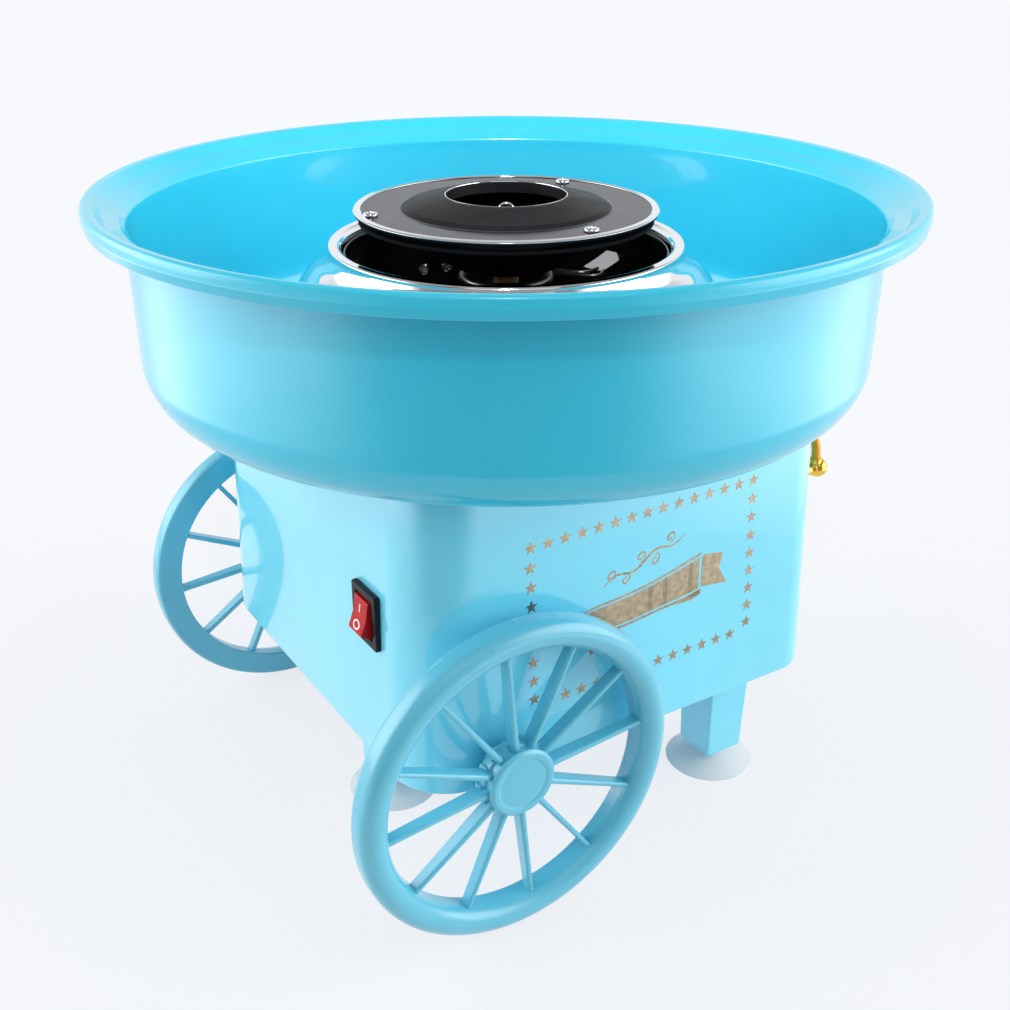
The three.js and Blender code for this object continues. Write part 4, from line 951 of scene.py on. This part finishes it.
def floor():
    """A round table top whose edge fades into the background"""
    centre = BEHIND * 0.09
    wide, deep = 0.40, 0.46
    rings = 10
    count = 96
    vertices = [tuple(centre)]
    for i in range(1, rings + 1):
        for k in range(count):
            a = 2 * math.pi * k / count
            spot = centre + (RIGHT * (wide * math.cos(a)) + BEHIND * (deep * math.sin(a))) * (i / rings)
            vertices.append((spot.x, spot.y, 0))
    faces = [(0, 1 + k, 1 + (k + 1) % count) for k in range(count)]
    for i in range(rings - 1):
        for k in range(count):
            a, b = 1 + i * count + k, 1 + i * count + (k + 1) % count
            faces.append((a, a + count, b + count, b))
    mesh = bpy.data.meshes.new("table_top")
    mesh.from_pydata(vertices, [], faces)
    thing = add_object("table_top", mesh)
    material = bpy.data.materials.new("table_top")
    material.use_nodes = True
    tree = material.node_tree
    nodes, links = tree.nodes, tree.links
    shader = nodes["Principled BSDF"]
    place = nodes.new("ShaderNodeTexCoord").outputs["Object"]
    noise = nodes.new("ShaderNodeTexNoise")
    noise.inputs["Scale"].default_value = 3
    links.new(place, noise.inputs["Vector"])
    ramp = nodes.new("ShaderNodeValToRGB")
    ramp.color_ramp.elements[0].color = (0.79, 0.805, 0.835, 1)
    ramp.color_ramp.elements[1].color = (0.81, 0.825, 0.855, 1)
    links.new(noise.outputs["Fac"], ramp.inputs["Fac"])
    links.new(ramp.outputs["Color"], shader.inputs["Base Color"])
    shader.inputs["Roughness"].default_value = 0.6
    shader.inputs["Specular IOR Level"].default_value = 0.1
    # Distance from the middle as a share of the table's reach
    shares = []
    for direction, reach in ((RIGHT, wide), (BEHIND, deep)):
        shift = nodes.new("ShaderNodeVectorMath")
        shift.operation = "SUBTRACT"
        shift.inputs[1].default_value = centre
        links.new(place, shift.inputs[0])
        shares.append(maths(tree, "POWER", dot_with(tree, shift.outputs[0], direction / reach), 2.0))
    radius = maths(tree, "SQRT", maths(tree, "ADD", *shares))
    fade = ramp_between(tree, radius, 0.5, 0.98, FLOOR_GLOW, 1.0)
    rays = nodes.new("ShaderNodeLightPath").outputs
    seen = maths(tree, "MAXIMUM", rays["Is Camera Ray"], rays["Is Glossy Ray"])
    seen = maths(tree, "MAXIMUM", seen, rays["Is Transmission Ray"])
    glow = nodes.new("ShaderNodeEmission")
    glow.inputs["Color"].default_value = PALE
    glow.inputs["Strength"].default_value = 1
    share = maths(tree, "MULTIPLY", seen, fade)
    links.new(mixed(tree, share, shader.outputs["BSDF"], glow.outputs["Emission"]),
              nodes["Material Output"].inputs["Surface"])
    mesh.materials.append(material)


floor()


def world():
    """Light that is strong from above, behind and both sides, and weak from the camera's side"""
    scene = bpy.context.scene
    scene.world = bpy.data.worlds.new("studio")
    scene.world.use_nodes = True
    tree = scene.world.node_tree
    nodes, links = tree.nodes, tree.links
    direction = nodes.new("ShaderNodeTexCoord").outputs["Generated"]
    up = dot_with(tree, direction, (0, 0, 1))
    across = maths(tree, "ABSOLUTE", dot_with(tree, direction, RIGHT))

    light = nodes["Background"]
    light.inputs["Color"].default_value = (1, 1, 1, 1)
    high = ramp_between(tree, dot_with(tree, direction, (0.42, 0.66, 0.62)), -0.75, 0.45, 0.11, 0.46)
    aside = ramp_between(tree, across, 0.2, 0.9, 0.0, 0.68)
    links.new(maths(tree, "ADD", high, aside), light.inputs["Strength"])
    # In shiny faces the studio is pale behind the object and dimmer overhead and in front
    front = ramp_between(tree, dot_with(tree, direction, BEHIND), -0.7, 0.2, 0.35, 1.0)
    shine = maths(tree, "MULTIPLY", front, ramp_between(tree, up, 0.28, 0.62, 1.0, 0.42))
    # Below the table's level it is pale to both sides too
    beside = ramp_between(tree, across, 0.25, 0.75, 0.0, 1.0)
    pale = maths(tree, "MULTIPLY", ramp_between(tree, up, 0.0, 0.06, 1.0, 0.0), beside)
    shine = maths(tree, "MAXIMUM", shine, pale)
    # Lower still a bright band stands on either side, soft at all its edges
    beside = ramp_between(tree, across, 0.58, 0.88, 0.0, 1.0)
    bright = maths(tree, "MULTIPLY", ramp_between(tree, up, -0.44, -0.34, 0.0, 1.9),
                   ramp_between(tree, up, -0.29, -0.19, 1.0, 0.0))
    shine = maths(tree, "ADD", shine, maths(tree, "MULTIPLY", bright, beside))
    mirror = nodes.new("ShaderNodeBackground")
    mirror.inputs["Color"].default_value = PALE
    links.new(shine, mirror.inputs["Strength"])
    seen = nodes.new("ShaderNodeBackground")
    seen.inputs["Color"].default_value = PALE
    seen.inputs["Strength"].default_value = 1
    rays = nodes.new("ShaderNodeLightPath").outputs
    shiny = maths(tree, "MAXIMUM", rays["Is Glossy Ray"], rays["Is Transmission Ray"])
    studio = mixed(tree, shiny, light.outputs["Background"], mirror.outputs["Background"])
    studio = mixed(tree, rays["Is Camera Ray"], studio, seen.outputs["Background"])
    links.new(studio, nodes["World Output"].inputs["Surface"])


world()


def lamp(name, place, aim, size_x, size_y, power, soft=None):
    """A rectangular area lamp; soft is how far from its middle it starts to fade, as a share of its width"""
    data = bpy.data.lights.new(name, "AREA")
    data.shape = "RECTANGLE"
    data.size = size_x
    data.size_y = size_y
    data.energy = power
    thing = add_object(name, data)
    thing.location = place
    thing.rotation_euler = (Vector(aim) - Vector(place)).to_track_quat("-Z", "Y").to_euler()
    if soft is None:
        return
    # The diffuser fades towards both upright edges
    data.use_nodes = True
    tree = data.node_tree
    split = tree.nodes.new("ShaderNodeSeparateXYZ")
    tree.links.new(tree.nodes.new("ShaderNodeNewGeometry").outputs["Parametric"], split.inputs[0])
    away = maths(tree, "ABSOLUTE", maths(tree, "SUBTRACT", split.outputs["X"], 0.5))
    tree.links.new(ramp_between(tree, away, soft, 0.5, 1.0, 0.0), tree.nodes["Emission"].inputs["Strength"])


def around(azimuth, distance, height):
    """A place around the object; azimuth 0 is the camera's side, positive to its right"""
    a = math.radians(azimuth)
    spot = (-BEHIND * math.cos(a) + RIGHT * math.sin(a)) * distance
    return spot.x, spot.y, height


lamp("softbox_left", around(-92, 1.05, 0.43), (0, 0, 0.13), 1.6, 0.8, 11.5, 0.12)
lamp("softbox_right", around(82, 1.05, 0.43), (0, 0, 0.13), 1.7, 0.8, 12, 0.12)
lamp("front_fill", around(4, 0.95, 1.15), (0, 0, 0.12), 1.2, 0.9, 2)


def snoot():
    """A narrow soft beam over the near rim on the inside of the bowl's far wall"""
    data = bpy.data.lights.new("snoot", "SPOT")
    data.energy = 40
    data.spot_size = math.radians(19)
    data.spot_blend = 0.6
    data.shadow_soft_size = 0.09
    thing = add_object("snoot", data)
    place = -BEHIND * 0.8 + Vector((0, 0, 1.1))
    aim = BEHIND * 0.155 + Vector((0, 0, 0.235))
    thing.location = place
    thing.rotation_euler = (aim - place).to_track_quat("-Z", "Y").to_euler()
    thing.scale = (1.5, 1, 1)


snoot()

scene = bpy.context.scene
scene.view_settings.view_transform = "Standard"
